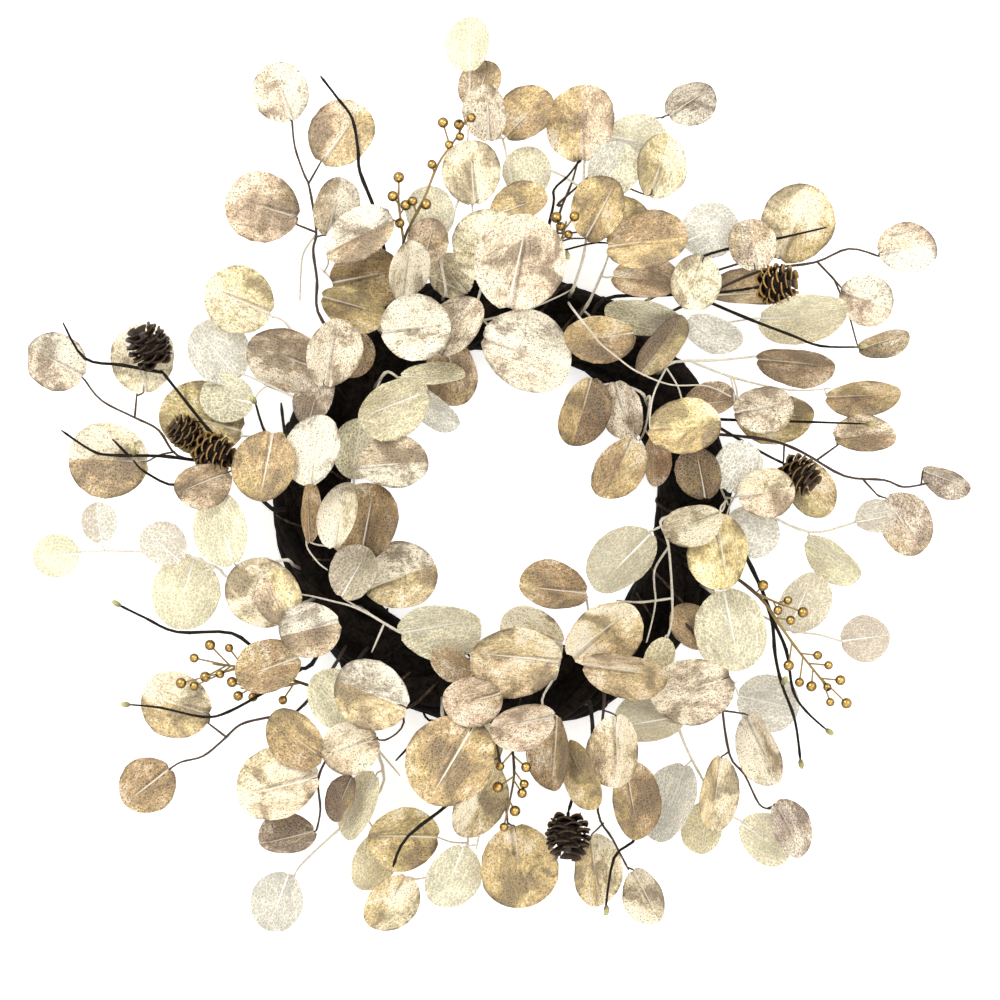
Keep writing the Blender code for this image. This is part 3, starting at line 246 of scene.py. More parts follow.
# A bud: x, y and heading. A cone: x, y, heading, width and length in mm, and how gilt its lips are.
bareTwigs = {
    "dark_twig_01": dict(root=(121, 12), rise=14, radius=1.5,
        routes=[[(388, 270), (376, 214), (360, 172), (358, 150), (352, 118), (337, 97), (320, 75)]]),
    "dark_twig_02": dict(root=(83, 14), rise=12, radius=1.2,
        routes=[[(538, 270), (553, 207), (554, 190), (568, 176), (580, 160)], [(549, 255), (597, 243),
            (622, 249)]],
        buds=[(597, 243, 60), (572, 269, -70)]),
    "dark_twig_03": dict(root=(176, 14), rise=12, radius=1.5,
        routes=[[(258, 466), (195, 460), (160, 456), (110, 455), (90, 450), (60, 430)], [(128, 455),
            (112, 439)], [(206, 461), (177, 485), (145, 472), (133, 460)]],
        buds=[(132, 453, 100)]),
    "dark_twig_04": dict(root=(166, -6), rise=20, radius=1.7,
        routes=[[(303, 486), (288, 445), (282, 403)], [(292, 458), (268, 436), (256, 402)]],
        buds=[(256, 402, 120), (285, 436, 150), (290, 450, 10)]),
    "dark_twig_05": dict(root=(217, 15), rise=10, radius=1.5,
        routes=[[(306, 668), (265, 656), (232, 633), (177, 632), (145, 618), (118, 605)], [(304, 668),
            (268, 690), (228, 712), (203, 717), (160, 708), (127, 705)]],
        buds=[(118, 605, 150), (127, 705, 175)]),
    "dark_twig_06": dict(root=(258, -5), rise=16, radius=1.7,
        routes=[[(462, 722), (466, 784), (408, 836), (393, 867)], [(463, 714), (434, 722), (396, 760)]]),
    "dark_twig_07": dict(root=(345, 12), rise=10, radius=1.6,
        routes=[[(734, 540), (757, 580), (771, 618), (775, 655), (782, 685), (795, 720), (801, 762)],
            [(772, 616), (786, 650), (793, 690), (806, 711), (828, 731)]],
        buds=[(801, 762, -80), (828, 731, -35), (782, 687, 60)]),
    "cone_twig_01": dict(root=(182, 12), rise=8, radius=1.7,
        routes=[[(272, 508), (250, 485), (222, 445), (205, 425), (185, 400), (161, 370)], [(164, 372),
            (122, 365), (84, 358), (62, 322)]],
        cones=[(150, 348, 120, 24, 27, 0.06), (187, 433, 150, 19, 21, 0.45), (213, 452, -20, 22, 24, 0.7)]),
    "cone_twig_02": dict(root=(64, -9), rise=16, radius=1.5,
        routes=[[(604, 300), (660, 296), (718, 293), (754, 288)], [(640, 297), (692, 262), (728, 249),
            (780, 238), (827, 227)], [(690, 295), (745, 318), (790, 335), (820, 346), (860, 347)]],
        buds=[(865, 345, 10)],
        cones=[(775, 285, 8, 23, 25, 0.9)]),
    "cone_twig_03": dict(root=(26, 12), rise=14, radius=1.4,
        routes=[[(712, 424), (760, 452), (784, 464)], [(704, 420), (760, 421), (807, 422), (868, 424)]],
        buds=[(868, 424, 0)],
        cones=[(797, 474, -35, 22, 24, 0.35)]),
    "cone_twig_04": dict(root=(292, 14), rise=14, radius=1.8,
        routes=[[(590, 705), (592, 745), (578, 780), (568, 812)], [(592, 740), (620, 785), (636, 835),
            (614, 858), (605, 916)]],
        buds=[(605, 908, -90)],
        cones=[(568, 834, -90, 25, 28, 0.08)]),
}

# A berry: x, y and rise above its stem in mm.
berrySprays = {
    "berry_spray_01": dict(root=(114, 12), rise=18, radius=1.2,
        routes=[[(408, 272), (404, 242), (424, 200), (438, 165), (455, 140), (466, 120)], [(405, 250),
            (399, 205), (399, 186)]],
        berries=[(443, 123, 2), (459, 125, 6), (471, 118, 2), (449, 145, 0), (432, 165, 3), (413, 202, 4),
            (399, 178, 2), (393, 197, 3), (385, 214, 1), (460, 137, 2), (426, 205, 1), (406, 206, 2),
            (400, 224, 3)]),
    "berry_spray_02": dict(root=(86, -12), rise=30, radius=1.0,
        routes=[[(548, 270), (562, 238), (566, 222)]],
        berries=[(556, 219, 2), (574, 218, 3), (568, 236, 5), (560, 228, 6)]),
    "berry_spray_03": dict(root=(227, -2), rise=4, radius=1.3,
        routes=[[(332, 690), (308, 685), (270, 672), (240, 667), (212, 664)], [(300, 684), (262, 690),
            (240, 688)]],
        berries=[(210, 645, 4), (229, 648, 2), (194, 658, 3), (205, 677, 0), (181, 683, 2), (220, 674, 5),
            (238, 696, 0), (253, 678, 5), (253, 697, 2), (283, 700, 2), (194, 686, 1), (232, 682, 3),
            (268, 680, 2), (288, 677, 3)]),
    "berry_spray_04": dict(root=(273, 12), rise=20, radius=1.1,
        routes=[[(512, 742), (514, 775), (507, 812)]],
        berries=[(500, 765, 3), (524, 783, 1), (515, 810, 0), (504, 826, 2), (522, 792, 3), (498, 786, 2),
            (526, 766, 3)]),
    "berry_spray_05": dict(root=(341, -4), rise=18, radius=1.3,
        routes=[[(722, 570), (758, 596), (780, 626), (799, 652), (830, 690)], [(752, 592), (784, 606)]],
        berries=[(787, 600, 3), (802, 612, 2), (790, 620, 0), (788, 665, 3), (817, 655, 4), (799, 682, 1),
            (811, 686, 2), (840, 680, 3), (830, 702, 1), (846, 703, 3), (762, 585, 3), (777, 610, 2),
            (828, 665, 2), (827, 687, 3)]),
}

# Small leaves and loose cream stems that only the scene has, in the sprays that carry them.
lateLeaves = {
    "gold_spray_01": [(350, 352, -62, 34, 33, -8, "DB")],
    "gold_spray_03": [(451, 275, 130, 30, 28, -12, "EE")],
    "pale_spray_01": [(430, 212, 110, 34, 32, -8, "MM")],
    "gold_spray_18": [(478, 748, 265, 34, 32, -16, "OO")],
    "pale_spray_04": [(752, 532, -20, 36, 34, -6, "NN")],
    "pale_spray_02": [(614, 169, 60, 36, 34, 4, "FM")],
    "pale_spray_13": [(226, 398, 170, 34, 32, -6, "MM")],
}
# A loose stem: x, y and height in mm, from the spray's own stem onwards.
looseStems = {
    "gold_spray_01": [[(314, 234, 30), (303, 252, 34), (300, 275, 30), (299, 300, 24)]],
    "gold_spray_04": [[(482, 322, 58), (500, 317, 63), (520, 313, 66), (560, 296, 58), (577, 286, 60)]],
    "pale_spray_02": [[(560, 297, 52), (571, 308, 78), (580, 321, 108), (590, 333, 104), (600, 345, 96),
        (615, 357, 88), (636, 372, 80), (670, 385, 67), (705, 386, 62), (730, 397, 74)]],
    "pale_spray_05": [[(667, 547, 66), (655, 568, 58), (654, 585, 60), (655, 600, 69), (652, 620, 62),
        (646, 642, 70)]],
    "pale_spray_10": [[(372, 615, 65), (352, 606, 62), (333, 601, 62), (312, 596, 62), (300, 594, 60)]],
    "gold_spray_25": [[(348, 521, 59), (330, 528, 62), (311, 533, 60), (307, 546, 56), (318, 562, 58),
        (328, 570, 60)]],
}

# The colourings seen on the leaves, each half's own colour with painted fold light and shade in it: red,
# green and blue, how much white frosting and painted glint, and how many flecks.
goldFinishesAndFoldShading = {
    "W": (0.90, 0.82, 0.64, 0.95, 0.35), "C": (0.80, 0.66, 0.385, 0.60, 0.25),
    "S": (0.76, 0.60, 0.395, 0.62, 0.45), "P": (0.63, 0.45, 0.285, 0.42, 0.40),
    "G": (0.56, 0.39, 0.150, 0.25, 0.30), "B": (0.36, 0.225, 0.090, 0.16, 0.50),
    "D": (0.15, 0.075, 0.028, 0.10, 0.75), "O": (0.52, 0.40, 0.15, 0.30, 0.30),
    "Y": (0.33, 0.24, 0.17, 0.38, 0.60), "R": (0.34, 0.16, 0.065, 0.14, 0.45),
    "L": (0.76, 0.59, 0.235, 0.45, 0.25), "E": (0.70, 0.62, 0.385, 0.55, 0.35),
}
paleFinishesAndFoldShading = {
    "V": (0.95, 0.91, 0.78, 0.9, 0.10), "K": (0.95, 0.87, 0.58, 0.7, 0.08),
    "M": (0.87, 0.80, 0.555, 0.6, 0.12), "N": (0.85, 0.81, 0.685, 0.6, 0.10),
    "I": (0.87, 0.77, 0.49, 0.5, 0.20), "T": (0.63, 0.56, 0.375, 0.5, 0.35),
    "C": (0.80, 0.70, 0.50, 0.5, 0.25), "S": (0.74, 0.62, 0.49, 0.6, 0.35),
    "F": (0.70, 0.66, 0.54, 0.5, 0.12),
}


def planPoint(x, y, z=0.0):
    return Vector(((x - plan["middle"][0]) * plan["step"], (plan["middle"][1] - y) * plan["step"], z))


def polar(turn, reach=1.0, height=0.0):
    return Vector((reach * math.cos(turn), reach * math.sin(turn), height))


def sway(x, y, turn):
    # a fixed draw from -1 to 1 that belongs to one place
    return math.sin(x * 12.9898 + y * 78.233 + turn * 37.719)


def mixed(first, second, share):
    return [a + (b - a) * share for a, b in zip(first, second)]


def limited(value, low=0.0, high=1.0):
    return min(high, max(low, value))


def stemHeight(point):
    away = abs((point - planPoint(*ring["middle"])).to_2d().length - ring["radius"])
    return max(stems["low"], stems["high"] - max(0.0, away - stems["shoulder"]) * stems["fall"])


# paths of stems

def pointAlong(path, distance):
    for a, b in zip(path, path[1:]):
        step = (b - a).length
        if distance <= step:
            return a.lerp(b, distance / step)
        distance -= step
    return path[-1].copy()


def nearestAlong(path, place):
    best, along = (math.inf, 0.0), 0.0
    for a, b in zip(path, path[1:]):
        run = (b - a).to_2d()
        share = limited((place - a).to_2d().dot(run) / max(run.length_squared, 1e-12))
        gap = (a.lerp(b, share) - place).to_2d().length
        if gap < best[0]:
            best = gap, along + share * (b - a).length
        along += (b - a).length
    return best


def nearestPath(paths, place):
    gap, along, index = min((*nearestAlong(path, place), k) for k, path in enumerate(paths))
    return paths[index], gap, along


def sprayPaths(spray, lift):
    angle, offset = spray["root"]
    start = planPoint(*ring["middle"]) + polar(math.radians(angle), ring["radius"] + offset * mm,
                                               stems["root"])
    toward = (planPoint(*spray["routes"][0][0]) - start).to_2d()
    reach = min(stems["collarReach"], toward.length * 0.5)
    toward.normalize()
    collar = start + Vector((toward.x * reach, toward.y * reach, 0.0))
    collar.z = stems["collar"]
    paths = []
    for route in spray["routes"]:
        points = [planPoint(*place) for place in route]
        for point in points:
            point.z = stemHeight(point) + (spray["rise"] + lift) * mm
        if not paths:
            paths.append([start, collar] + points)
            continue
        stem, gap, along = nearestPath(paths, points[0])
        if gap < 4 * plan["step"]:
            points.pop(0)
        if stem is paths[0]:
            along = max(along, (collar - start).length + 2 * mm)
        paths.append([pointAlong(stem, along)] + points)
    return paths


def petioleStart(paths, base):
    path, gap, along = nearestPath(paths, base)
    least = (path[1] - path[0]).length + 3 * mm if path is paths[0] else 2 * mm
    most = sum((b - a).length for a, b in zip(path, path[1:])) - 2 * mm
    return pointAlong(path, min(max(along - 0.35 * gap, least), most))


# The solids stand at one of these lifts in mm, and a leaf with one of these shares of its roll
# and pitch. Which one is read off the solid itself. Angles are in degrees.
fitting = dict(stemLifts=(0, 3, -3, 6, 9, -6, 12, 15, 18, 21, 24),
               leafLifts=(0, 4, -4, 8, -8, 12, -12, 16, 20, -16, 24, 28, -20, 32, 36, 40),
               tilts=((1, 1), (-1, 1), (1, -1), (-1, -1), (0.4, 0.5), (-0.4, -0.5)),
               broadness=0.94, steepest=50.0, smallLeaf=43.0, foldPlace=0.42, roll=5.0,
               pitch=(4.0, 9.0), fold=(11.0, 6.0), curl=0.06, rimStep=1.3, rimWidth=0.515)


def solidTree(node):
    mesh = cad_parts[node].data
    corners = [vertex.co.copy() for vertex in mesh.vertices]
    return BVHTree.FromPolygons(corners, [tuple(face.vertices) for face in mesh.polygons])


def misfit(solid, spots):
    return sum(solid.find_nearest(spot)[3] for spot in spots)


def fittedPaths(spray, solid):
    options = [sprayPaths(spray, lift) for lift in fitting["stemLifts"]]
    return min(options, key=lambda paths: misfit(solid, [spot for path in paths for spot in path[1:]]))


def leafPose(leaf, paths, tilt, lift):
    x, y, heading, length, breadth, rise, _ = leaf
    length *= mm
    breadth *= mm
    turn = math.radians(heading)
    broad = length * fitting["broadness"]
    roll = min(math.acos(min(1.0, breadth / broad)), math.radians(fitting["steepest"]))
    width = min(broad, breadth / math.cos(roll))
    roll = math.copysign(roll + math.radians(fitting["roll"]), sway(x, y, 1)) * tilt[0]
    pitch = math.radians(fitting["pitch"][0] + fitting["pitch"][1] * abs(sway(x, y, 2)))
    pitch = math.copysign(pitch, sway(x, y, 3)) * tilt[1]
    forward = polar(turn, math.cos(pitch), math.sin(pitch))
    side = Matrix.Rotation(roll, 3, forward) @ Vector((-math.sin(turn), math.cos(turn), 0.0))
    centre = planPoint(x, y)
    start = petioleStart(paths, centre - forward * length * 0.5)
    centre.z = start.z + (rise + lift) * mm
    fold = math.tan(math.radians(fitting["fold"][0] + fitting["fold"][1] * sway(x, y, 4)))
    return dict(x=x, y=y, length=length, width=width, forward=forward, side=side, start=start,
                up=forward.cross(side), base=centre - forward * length * 0.5, fold=fold,
                curl=fitting["curl"] * sway(x, y, 5))


def bladeSpot(pose, along, across, extra=0.0):
    bend = abs(across) * pose["fold"] + pose["curl"] * along * along / pose["length"] + extra
    return pose["base"] + pose["forward"] * along + pose["side"] * across + pose["up"] * bend


def fittedPose(leaf, paths, solid):
    sides = 2 if leaf[3] < fitting["smallLeaf"] else 3
    around = math.pi * (1.0 - fitting["rimStep"] / (sides + fitting["rimStep"]))

    def gap(pose):
        # the tip, the fold and one rim corner on each side of the solid's plain leaf
        length, across = pose["length"], pose["width"] * fitting["rimWidth"] * math.sin(around)
        along = length * 0.5 * (1.0 + math.cos(around))
        spots = ((length, 0.0), (length * fitting["foldPlace"], 0.0), (along, across), (along, -across))
        return misfit(solid, [bladeSpot(pose, *spot) for spot in spots])

    return min((leafPose(leaf, paths, tilt, lift) for lift in fitting["leafLifts"]
                for tilt in fitting["tilts"]), key=gap)


def rounded(path, parts=4):
    # a curve that passes through every point of the path
    out = []
    for k in range(len(path) - 1):
        before, a, b, after = path[max(k - 1, 0)], path[k], path[k + 1], path[min(k + 2, len(path) - 1)]
        for step in range(parts):
            t = step / parts
            out.append(0.5 * ((2 * a) + (b - before) * t + (2 * before - 5 * a + 4 * b - after) * t * t
                              + (3 * a - before - 3 * b + after) * t * t * t))
    return out + [path[-1].copy()]


# mesh pieces: a shape gathers points and faces, with a tone, a mood and a place for each face corner

def newShape():
    return dict(points=[], faces=[], slots=[], tones=[], moods=[], places=[])


def addFace(shape, corners, slot, tones, moods, places):
    shape["faces"].append(tuple(corners))
    shape["slots"].append(slot)
    shape["tones"] += tones
    shape["moods"] += moods
    shape["places"] += places


def addTube(shape, path, radii, slot, tone, sides, rootTone=None, fade=1.0):
    # a root tone fades into the tube's own tone over a length from its start
    start = len(shape["points"])
    last = len(path) - 1
    tangent = (path[1] - path[0]).normalized()
    side = tangent.orthogonal().normalized()
    marks = [0.0]
    for k, point in enumerate(path):
        if k:
            marks.append(marks[-1] + (point - path[k - 1]).length)
            ahead = path[min(k + 1, last)] - path[k - 1]
            fresh = ahead.normalized() if ahead.length > 0 else tangent
            side = (tangent.rotation_difference(fresh) @ side)
            side = (side - fresh * side.dot(fresh)).normalized()
            tangent = fresh
        across = tangent.cross(side)
        for turn in range(sides):
            angle = math.tau * turn / sides
            out = side * math.cos(angle) + across * math.sin(angle)
            shape["points"].append(point + out * radii[k])
    mood = [(0.0, 0.0, sway(path[0].x, path[0].y, 9) * 0.5 + 0.5, 1.0)]
    shares = [min(1.0, (mark / fade) ** stems["rootEdge"]) if rootTone else 1.0 for mark in marks]
    tones = [(*mixed(rootTone or tone, tone, share), 1.0) for share in shares]
    for k in range(last):
        for turn in range(sides):
            cells = ((k, turn), (k, turn + 1), (k + 1, turn + 1), (k + 1, turn))
            addFace(shape, [start + row * sides + column % sides for row, column in cells], slot,
                    [tones[row] for row, _ in cells], mood * 4,
                    [(column / sides, marks[row]) for row, column in cells])
    for k, way in ((0, -1), (last, 1)):
        hub = len(shape["points"])
        shape["points"].append(path[k].copy())
        for turn in range(sides):
            rim = [start + k * sides + turn, start + k * sides + (turn + 1) % sides][::way]
            addFace(shape, rim + [hub], slot, [tones[k]] * 3, mood * 3,
                    [((turn + part) / sides, marks[k]) for part in (0, 1, 0.5)])


def addBall(shape, centre, radii, axis, slot, toneAt, rows, sides):
    # a round body with its poles on the axis, toneAt gives the tone for a direction
    turn = axis.to_track_quat("Z", "Y").to_matrix()
    start = len(shape["points"])
    ways = [polar(math.tau * k / sides, math.sin(math.pi * row / rows), math.cos(math.pi * row / rows))
            for row in range(1, rows) for k in range(sides)]
    ways += [Vector((0, 0, 1)), Vector((0, 0, -1))]
    for way in ways:
        local = Vector([part * radius for part, radius in zip(way, radii)])
        shape["points"].append(centre + turn @ local)
    tones = [(*toneAt(way, turn @ way), 1.0) for way in ways]
    mood = (0.0, 0.0, sway(centre.x * 900, centre.y * 900, 2) * 0.5 + 0.5, 1.0)

    def put(*spots):
        addFace(shape, [start + k for k in spots], slot, [tones[k] for k in spots],
                [mood] * len(spots), [(ways[k].x, ways[k].z) for k in spots])

    for row in range(rows - 2):
        for k in range(sides):
            after = (k + 1) % sides
            put(row * sides + k, (row + 1) * sides + k, (row + 1) * sides + after, row * sides + after)
    top = len(ways) - 2
    for k in range(sides):
        after = (k + 1) % sides
        put(k, after, top)
        put((rows - 2) * sides + after, (rows - 2) * sides + k, top + 1)


blade = dict(rows=16, columns=12, thickness=0.0004, ripple=0.016, notch=0.05, outline=0.503,
             lumps=0.022, lobes=0.012, rimShade=0.8, borrow=(0.12, 0.26), petioleBow=0.07,
             petioleRise=0.05, petioleInto=0.14)


def addBlade(shape, pose, code, finishesAndFoldShading, tone):
    x, y, length, width, up = pose["x"], pose["y"], pose["length"], pose["width"], pose["up"]
    rows, columns = blade["rows"], blade["columns"]

    grid = {}
    for skin, offset in ((0, 0.5), (1, -0.5)):
        for row in range(rows + 1):
            angle = math.pi * row / rows
            along = length * 0.5 * (1.0 - math.cos(angle))
            lump = math.sin(2.0 * angle + 5.0 * sway(x, y, 8)) + 0.6 * math.sin(5.0 * angle + x)
            swell = 1.0 + blade["lumps"] * lump * math.sin(angle)
            half = width * blade["outline"] * math.sin(angle) * swell
            for column in range(columns + 1):
                if row in (0, rows) and column:
                    grid[skin, row, column] = grid[skin, row, 0]
                    continue
                share = 0.0 if row in (0, rows) else -math.cos(math.pi * column / columns)
                lobe = 1.0 + blade["lobes"] * sway(x + column // 7, y + row, 3) * abs(share)
                back = blade["notch"] * length * abs(share) ** 2 * (1.0 - row / rows) ** 5
                across = half * share * lobe
                wave = math.sin(3.0 * angle + 6.0 * sway(x, y, 7) + (1.5 if across > 0 else 0.0))
                ripple = blade["ripple"] * length * (abs(across) / (width * 0.5)) ** 3 * wave
                point = bladeSpot(pose, along - back, across, ripple)
                grid[skin, row, column] = len(shape["points"])
                shape["points"].append(point + up * blade["thickness"] * offset)
    # the two halves borrow from each other, some blades more than others; what differs between them is
    # partly painted light and shade from the fold
    left, right = finishesAndFoldShading[code[0]], finishesAndFoldShading[code[1]]
    share = blade["borrow"][0] + blade["borrow"][1] * (0.5 + 0.5 * sway(x, y, 11))
    halves = mixed(left, right, share), mixed(right, left, share)
    for row in range(rows):
        for column in range(columns):
            finishAndFoldShading = halves[column < columns // 2]
            mood = (*finishAndFoldShading[3:], 0.5 + 0.5 * sway(x, y, 10), 1.0)
            cells = [(row, column), (row, column + 1), (row + 1, column + 1), (row + 1, column)]
            for skin in (0, 1):
                corners, places = [], []
                for r, c in cells if skin else cells[::-1]:
                    if grid[skin, r, c] in corners:
                        continue
                    corners.append(grid[skin, r, c])
                    angle = math.pi * r / rows
                    places.append((-math.cos(math.pi * c / columns) * math.sin(angle),
                                   0.5 - 0.5 * math.cos(angle)))
                count = len(corners)
                addFace(shape, corners, 0, [(*finishAndFoldShading[:3], 1.0)] * count, [mood] * count, places)
    for column, way in ((0, -1), (columns, 1)):
        edge = (*[value * blade["rimShade"] for value in halves[way < 0][:3]], 1.0)
        for row in range(rows):
            corners = [grid[0, row, column], grid[0, row + 1, column], grid[1, row + 1, column],
                       grid[1, row, column]]
            addFace(shape, corners[::way], 0, [edge] * 4, [(0.0, 0.2, 0.5, 1.0)] * 4, [(way, 0.5)] * 4)

    begin, base = pose["start"], pose["base"]
    run = base - begin
    level = Vector((-run.y, run.x, 0.0)).normalized()
    middle = begin.lerp(base, 0.5) + level * run.length * blade["petioleBow"] * sway(x, y, 6)
    middle.z += blade["petioleRise"] * run.length
    into = bladeSpot(pose, length * blade["petioleInto"], 0.0) - up * blade["thickness"]
    path = rounded([begin, middle, base - up * blade["thickness"] * 0.5, into], 5)
    radii = [stems["petiole"] * (1.15 - 0.45 * k / (len(path) - 1)) for k in range(len(path))]
    addTube(shape, path, radii, 1, tone, 6)


def addToScene(name, data):
    made = bpy.data.objects.new(name, data)
    bpy.context.scene.collection.objects.link(made)
    return made


boxInset = 0.00005


def finishMesh(node, shape, materials):
    # kept a hair inside the solids' box, and down to the floor
    for point in shape["points"]:
        for axis in range(3):
            least = cadBox[0][axis] + (0.0 if axis == 2 else boxInset)
            point[axis] = limited(point[axis], least, cadBox[1][axis] - boxInset)
    words = node.split("_")
    name = words[0] + "".join(word.capitalize() for word in words[1:])
    mesh = bpy.data.meshes.new(name)
    mesh.from_pydata(shape["points"], [], shape["faces"])
    for label in ("tone", "mood"):
        layer = mesh.color_attributes.new(name=label, type="FLOAT_COLOR", domain="CORNER")
        layer.data.foreach_set("color", [part for value in shape[label + "s"] for part in value])
    places = mesh.uv_layers.new(name="bladePlace")
    places.data.foreach_set("uv", [part for value in shape["places"] for part in value])
    for material in materials:
        mesh.materials.append(material)
    mesh.polygons.foreach_set("material_index", shape["slots"])
    mesh.polygons.foreach_set("use_smooth", [True] * len(shape["faces"]))
    mesh.update()
    piece = addToScene(name, mesh)
    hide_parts(node)
    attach(piece, "root")


# shader pieces: each adds its nodes to the tree that its first socket belongs to

def connect(value, socket):
    if isinstance(value, bpy.types.NodeSocket):
        socket.id_data.links.new(value, socket)
    else:
        socket.default_value = value


def feed(node, values):
    for label, value in values.items():
        connect(value, node.inputs[label])


def maths(operation, *values):
    made = values[0].id_data.nodes.new("ShaderNodeMath")
    made.operation = operation
    for value, socket in zip(values, made.inputs):
        connect(value, socket)
    return made.outputs[0]


def times(first, second):
    return maths("MULTIPLY", first, second)


def weighed(*parts):
    # the sum of some values, each times its own weight
    total = times(*parts[0])
    for part in parts[1:]:
        total = maths("ADD", total, times(*part))
    return total


def spread(value, low, high, least=0.0, most=1.0):
    made = value.id_data.nodes.new("ShaderNodeMapRange")
    made.interpolation_type = "SMOOTHSTEP"
    feed(made, {"Value": value, "From Min": low, "From Max": high, "To Min": least, "To Max": most})
    return made.outputs["Result"]


def noise(place, scale, detail, roughness, distortion=0.0):
    made = place.id_data.nodes.new("ShaderNodeTexNoise")
    feed(made, {"Vector": place, "Scale": scale, "Detail": detail, "Roughness": roughness,
                "Distortion": distortion})
    return made.outputs["Fac"]


def cellEdges(place, scale):
    made = place.id_data.nodes.new("ShaderNodeTexVoronoi")
    made.feature = "DISTANCE_TO_EDGE"
    feed(made, {"Vector": place, "Scale": scale})
    return made.outputs["Distance"]


def blend(colour, look, *steps):
    # each step lays a colour, or the look's tone of that name, over the last one by its own share
    for share, tone in steps:
        made = colour.id_data.nodes.new("ShaderNodeMix")
        made.data_type = "RGBA"
        for value, socket in ((share, 0), (colour, 6), (look.get(tone) or tone, 7)):
            connect(value, made.inputs[socket])
        colour = made.outputs[2]
    return colour


def brighten(colour, *shares):
    for share in shares:
        made = colour.id_data.nodes.new("ShaderNodeVectorMath")
        made.operation = "SCALE"
        connect(colour, made.inputs[0])
        connect(share, made.inputs["Scale"])
        colour = made.outputs[0]
    return colour


def relief(height, strength, distance):
    made = height.id_data.nodes.new("ShaderNodeBump")
    feed(made, {"Strength": strength, "Distance": distance, "Height": height})
    return made.outputs["Normal"]


def openGroup(name, inputs):
    # an input with no number is a vector
    tree = bpy.data.node_groups.new(name, "ShaderNodeTree")
    for label, value in inputs.items():
        kind = "NodeSocketVector" if value is None else "NodeSocketFloat"
        socket = tree.interface.new_socket(name=label, in_out="INPUT", socket_type=kind)
        if value is not None:
            socket.default_value = value
    return tree, tree.nodes.new("NodeGroupInput").outputs


def closeGroup(tree, outputs):
    for label in outputs:
        tree.interface.new_socket(name=label, in_out="OUTPUT", socket_type="NodeSocketFloat")
    feed(tree.nodes.new("NodeGroupOutput"), outputs)
    return tree


def speckleGroup():
    # soft patches, fine grain, small flecks and the net between the smallest veins
    tree, given = openGroup("speckle", {"Position": None, "Patch Scale": 60.0, "Grain Scale": 600.0})
    place, scale = given["Position"], given["Grain Scale"]
    return closeGroup(tree, {
        "Patch": noise(place, given["Patch Scale"], 4.0, 0.62, 0.6),
        "Grain": noise(place, scale, 3.0, 0.8),
        "Fleck": noise(place, times(scale, 1.9), 1.0, 0.5),
        "Net": spread(cellEdges(place, times(scale, 0.85)), 0.02, 0.20, 1.0, 0.0)})


vein = dict(width=0.048, taper=-0.034, slant=0.45, wobble=0.22, count=8.0, rimStart=0.88)


def veinGroup():
    # the midrib and its shaded side, side veins, fibres and the rim, from the place on the blade
    tree, given = openGroup("veins", {"Place": None, "Wobble": 0.0, "Seed": 0.0})
    split = tree.nodes.new("ShaderNodeSeparateXYZ")
    connect(given["Place"], split.inputs[0])
    side, along = split.outputs["X"], split.outputs["Y"]
    across = maths("ABSOLUTE", side)
    wide = maths("MULTIPLY_ADD", along, vein["taper"], vein["width"])
    end = maths("MULTIPLY_ADD", given["Seed"], 0.45, 0.5)
    ended = spread(along, maths("SUBTRACT", end, 0.3), end, 1.0, 0.0)
    midrib = times(spread(across, times(wide, 0.35), wide, 1.0, 0.0), ended)
    away = maths("ABSOLUTE", maths("ADD", side, times(wide, 2.2)))
    shade = times(spread(away, 0.0, times(wide, 1.8), 1.0, 0.0), ended)
    course = maths("ADD", maths("SUBTRACT", along, times(across, vein["slant"])),
                   times(given["Wobble"], vein["wobble"]))
    turns = maths("FRACT", times(course, vein["count"]))
    gap = maths("ABSOLUTE", maths("SUBTRACT", turns, 0.5))
    veins = times(spread(gap, 0.0, 0.10, 1.0, 0.0), spread(given["Wobble"], 0.40, 0.60))
    stretch = tree.nodes.new("ShaderNodeCombineXYZ")
    feed(stretch, {"X": times(maths("ADD", course, across), 7.0), "Y": times(side, 9.0),
                   "Z": times(given["Seed"], 90.0)})
    reach = maths("MULTIPLY_ADD", along, 2.0, -1.0)
    radius = maths("SQRT", maths("ADD", times(across, across), times(reach, reach)))
    return closeGroup(tree, {
        "Midrib": midrib, "Shade": shade, "Veins": veins,
        "Fibre": noise(stretch.outputs[0], 1.0, 7.0, 0.72, 1.6),
        "Edge": spread(radius, vein["rimStart"], 1.0)})


def barkGroup():
    tree, given = openGroup("bark", {"Position": None, "Scale": 300.0})
    coarse = noise(given["Position"], given["Scale"], 5.0, 0.7, 1.2)
    cracks = spread(cellEdges(given["Position"], given["Scale"]), 0.0, 0.16)
    return closeGroup(tree, {"Shade": coarse, "Height": times(coarse, cracks)})


def newMaterial(name):
    # tone is the colour, some of it painted light and shade, and mood the white frosting with its painted
    # glint, the flecks and the chance that the mesh carries
    material = bpy.data.materials.new(name)
    material.use_nodes = True
    tree = material.node_tree
    tone, mood = tree.nodes.new("ShaderNodeVertexColor"), tree.nodes.new("ShaderNodeVertexColor")
    tone.layer_name, mood.layer_name = "tone", "mood"
    parts = tree.nodes.new("ShaderNodeSeparateColor")
    connect(mood.outputs["Color"], parts.inputs[0])
    where = tree.nodes.new("ShaderNodeTexCoord").outputs["Object"]
    return material, tree.nodes["Principled BSDF"], where, tone.outputs["Color"], parts.outputs


def useGroup(group, values):
    made = values[next(iter(values))].id_data.nodes.new("ShaderNodeGroup")
    made.node_tree = group
    feed(made, values)
    return made.outputs


def leafMarks(look, speckle, veins, where, mood):
    marks = useGroup(speckle, {"Position": where, "Patch Scale": look["patchScale"],
                               "Grain Scale": look["grainScale"]})
    place = where.id_data.nodes.new("ShaderNodeUVMap")
    place.uv_map = "bladePlace"
    lines = useGroup(veins, {"Place": place.outputs["UV"], "Wobble": marks["Patch"],
                             "Seed": mood["Blue"]})
    return marks, lines
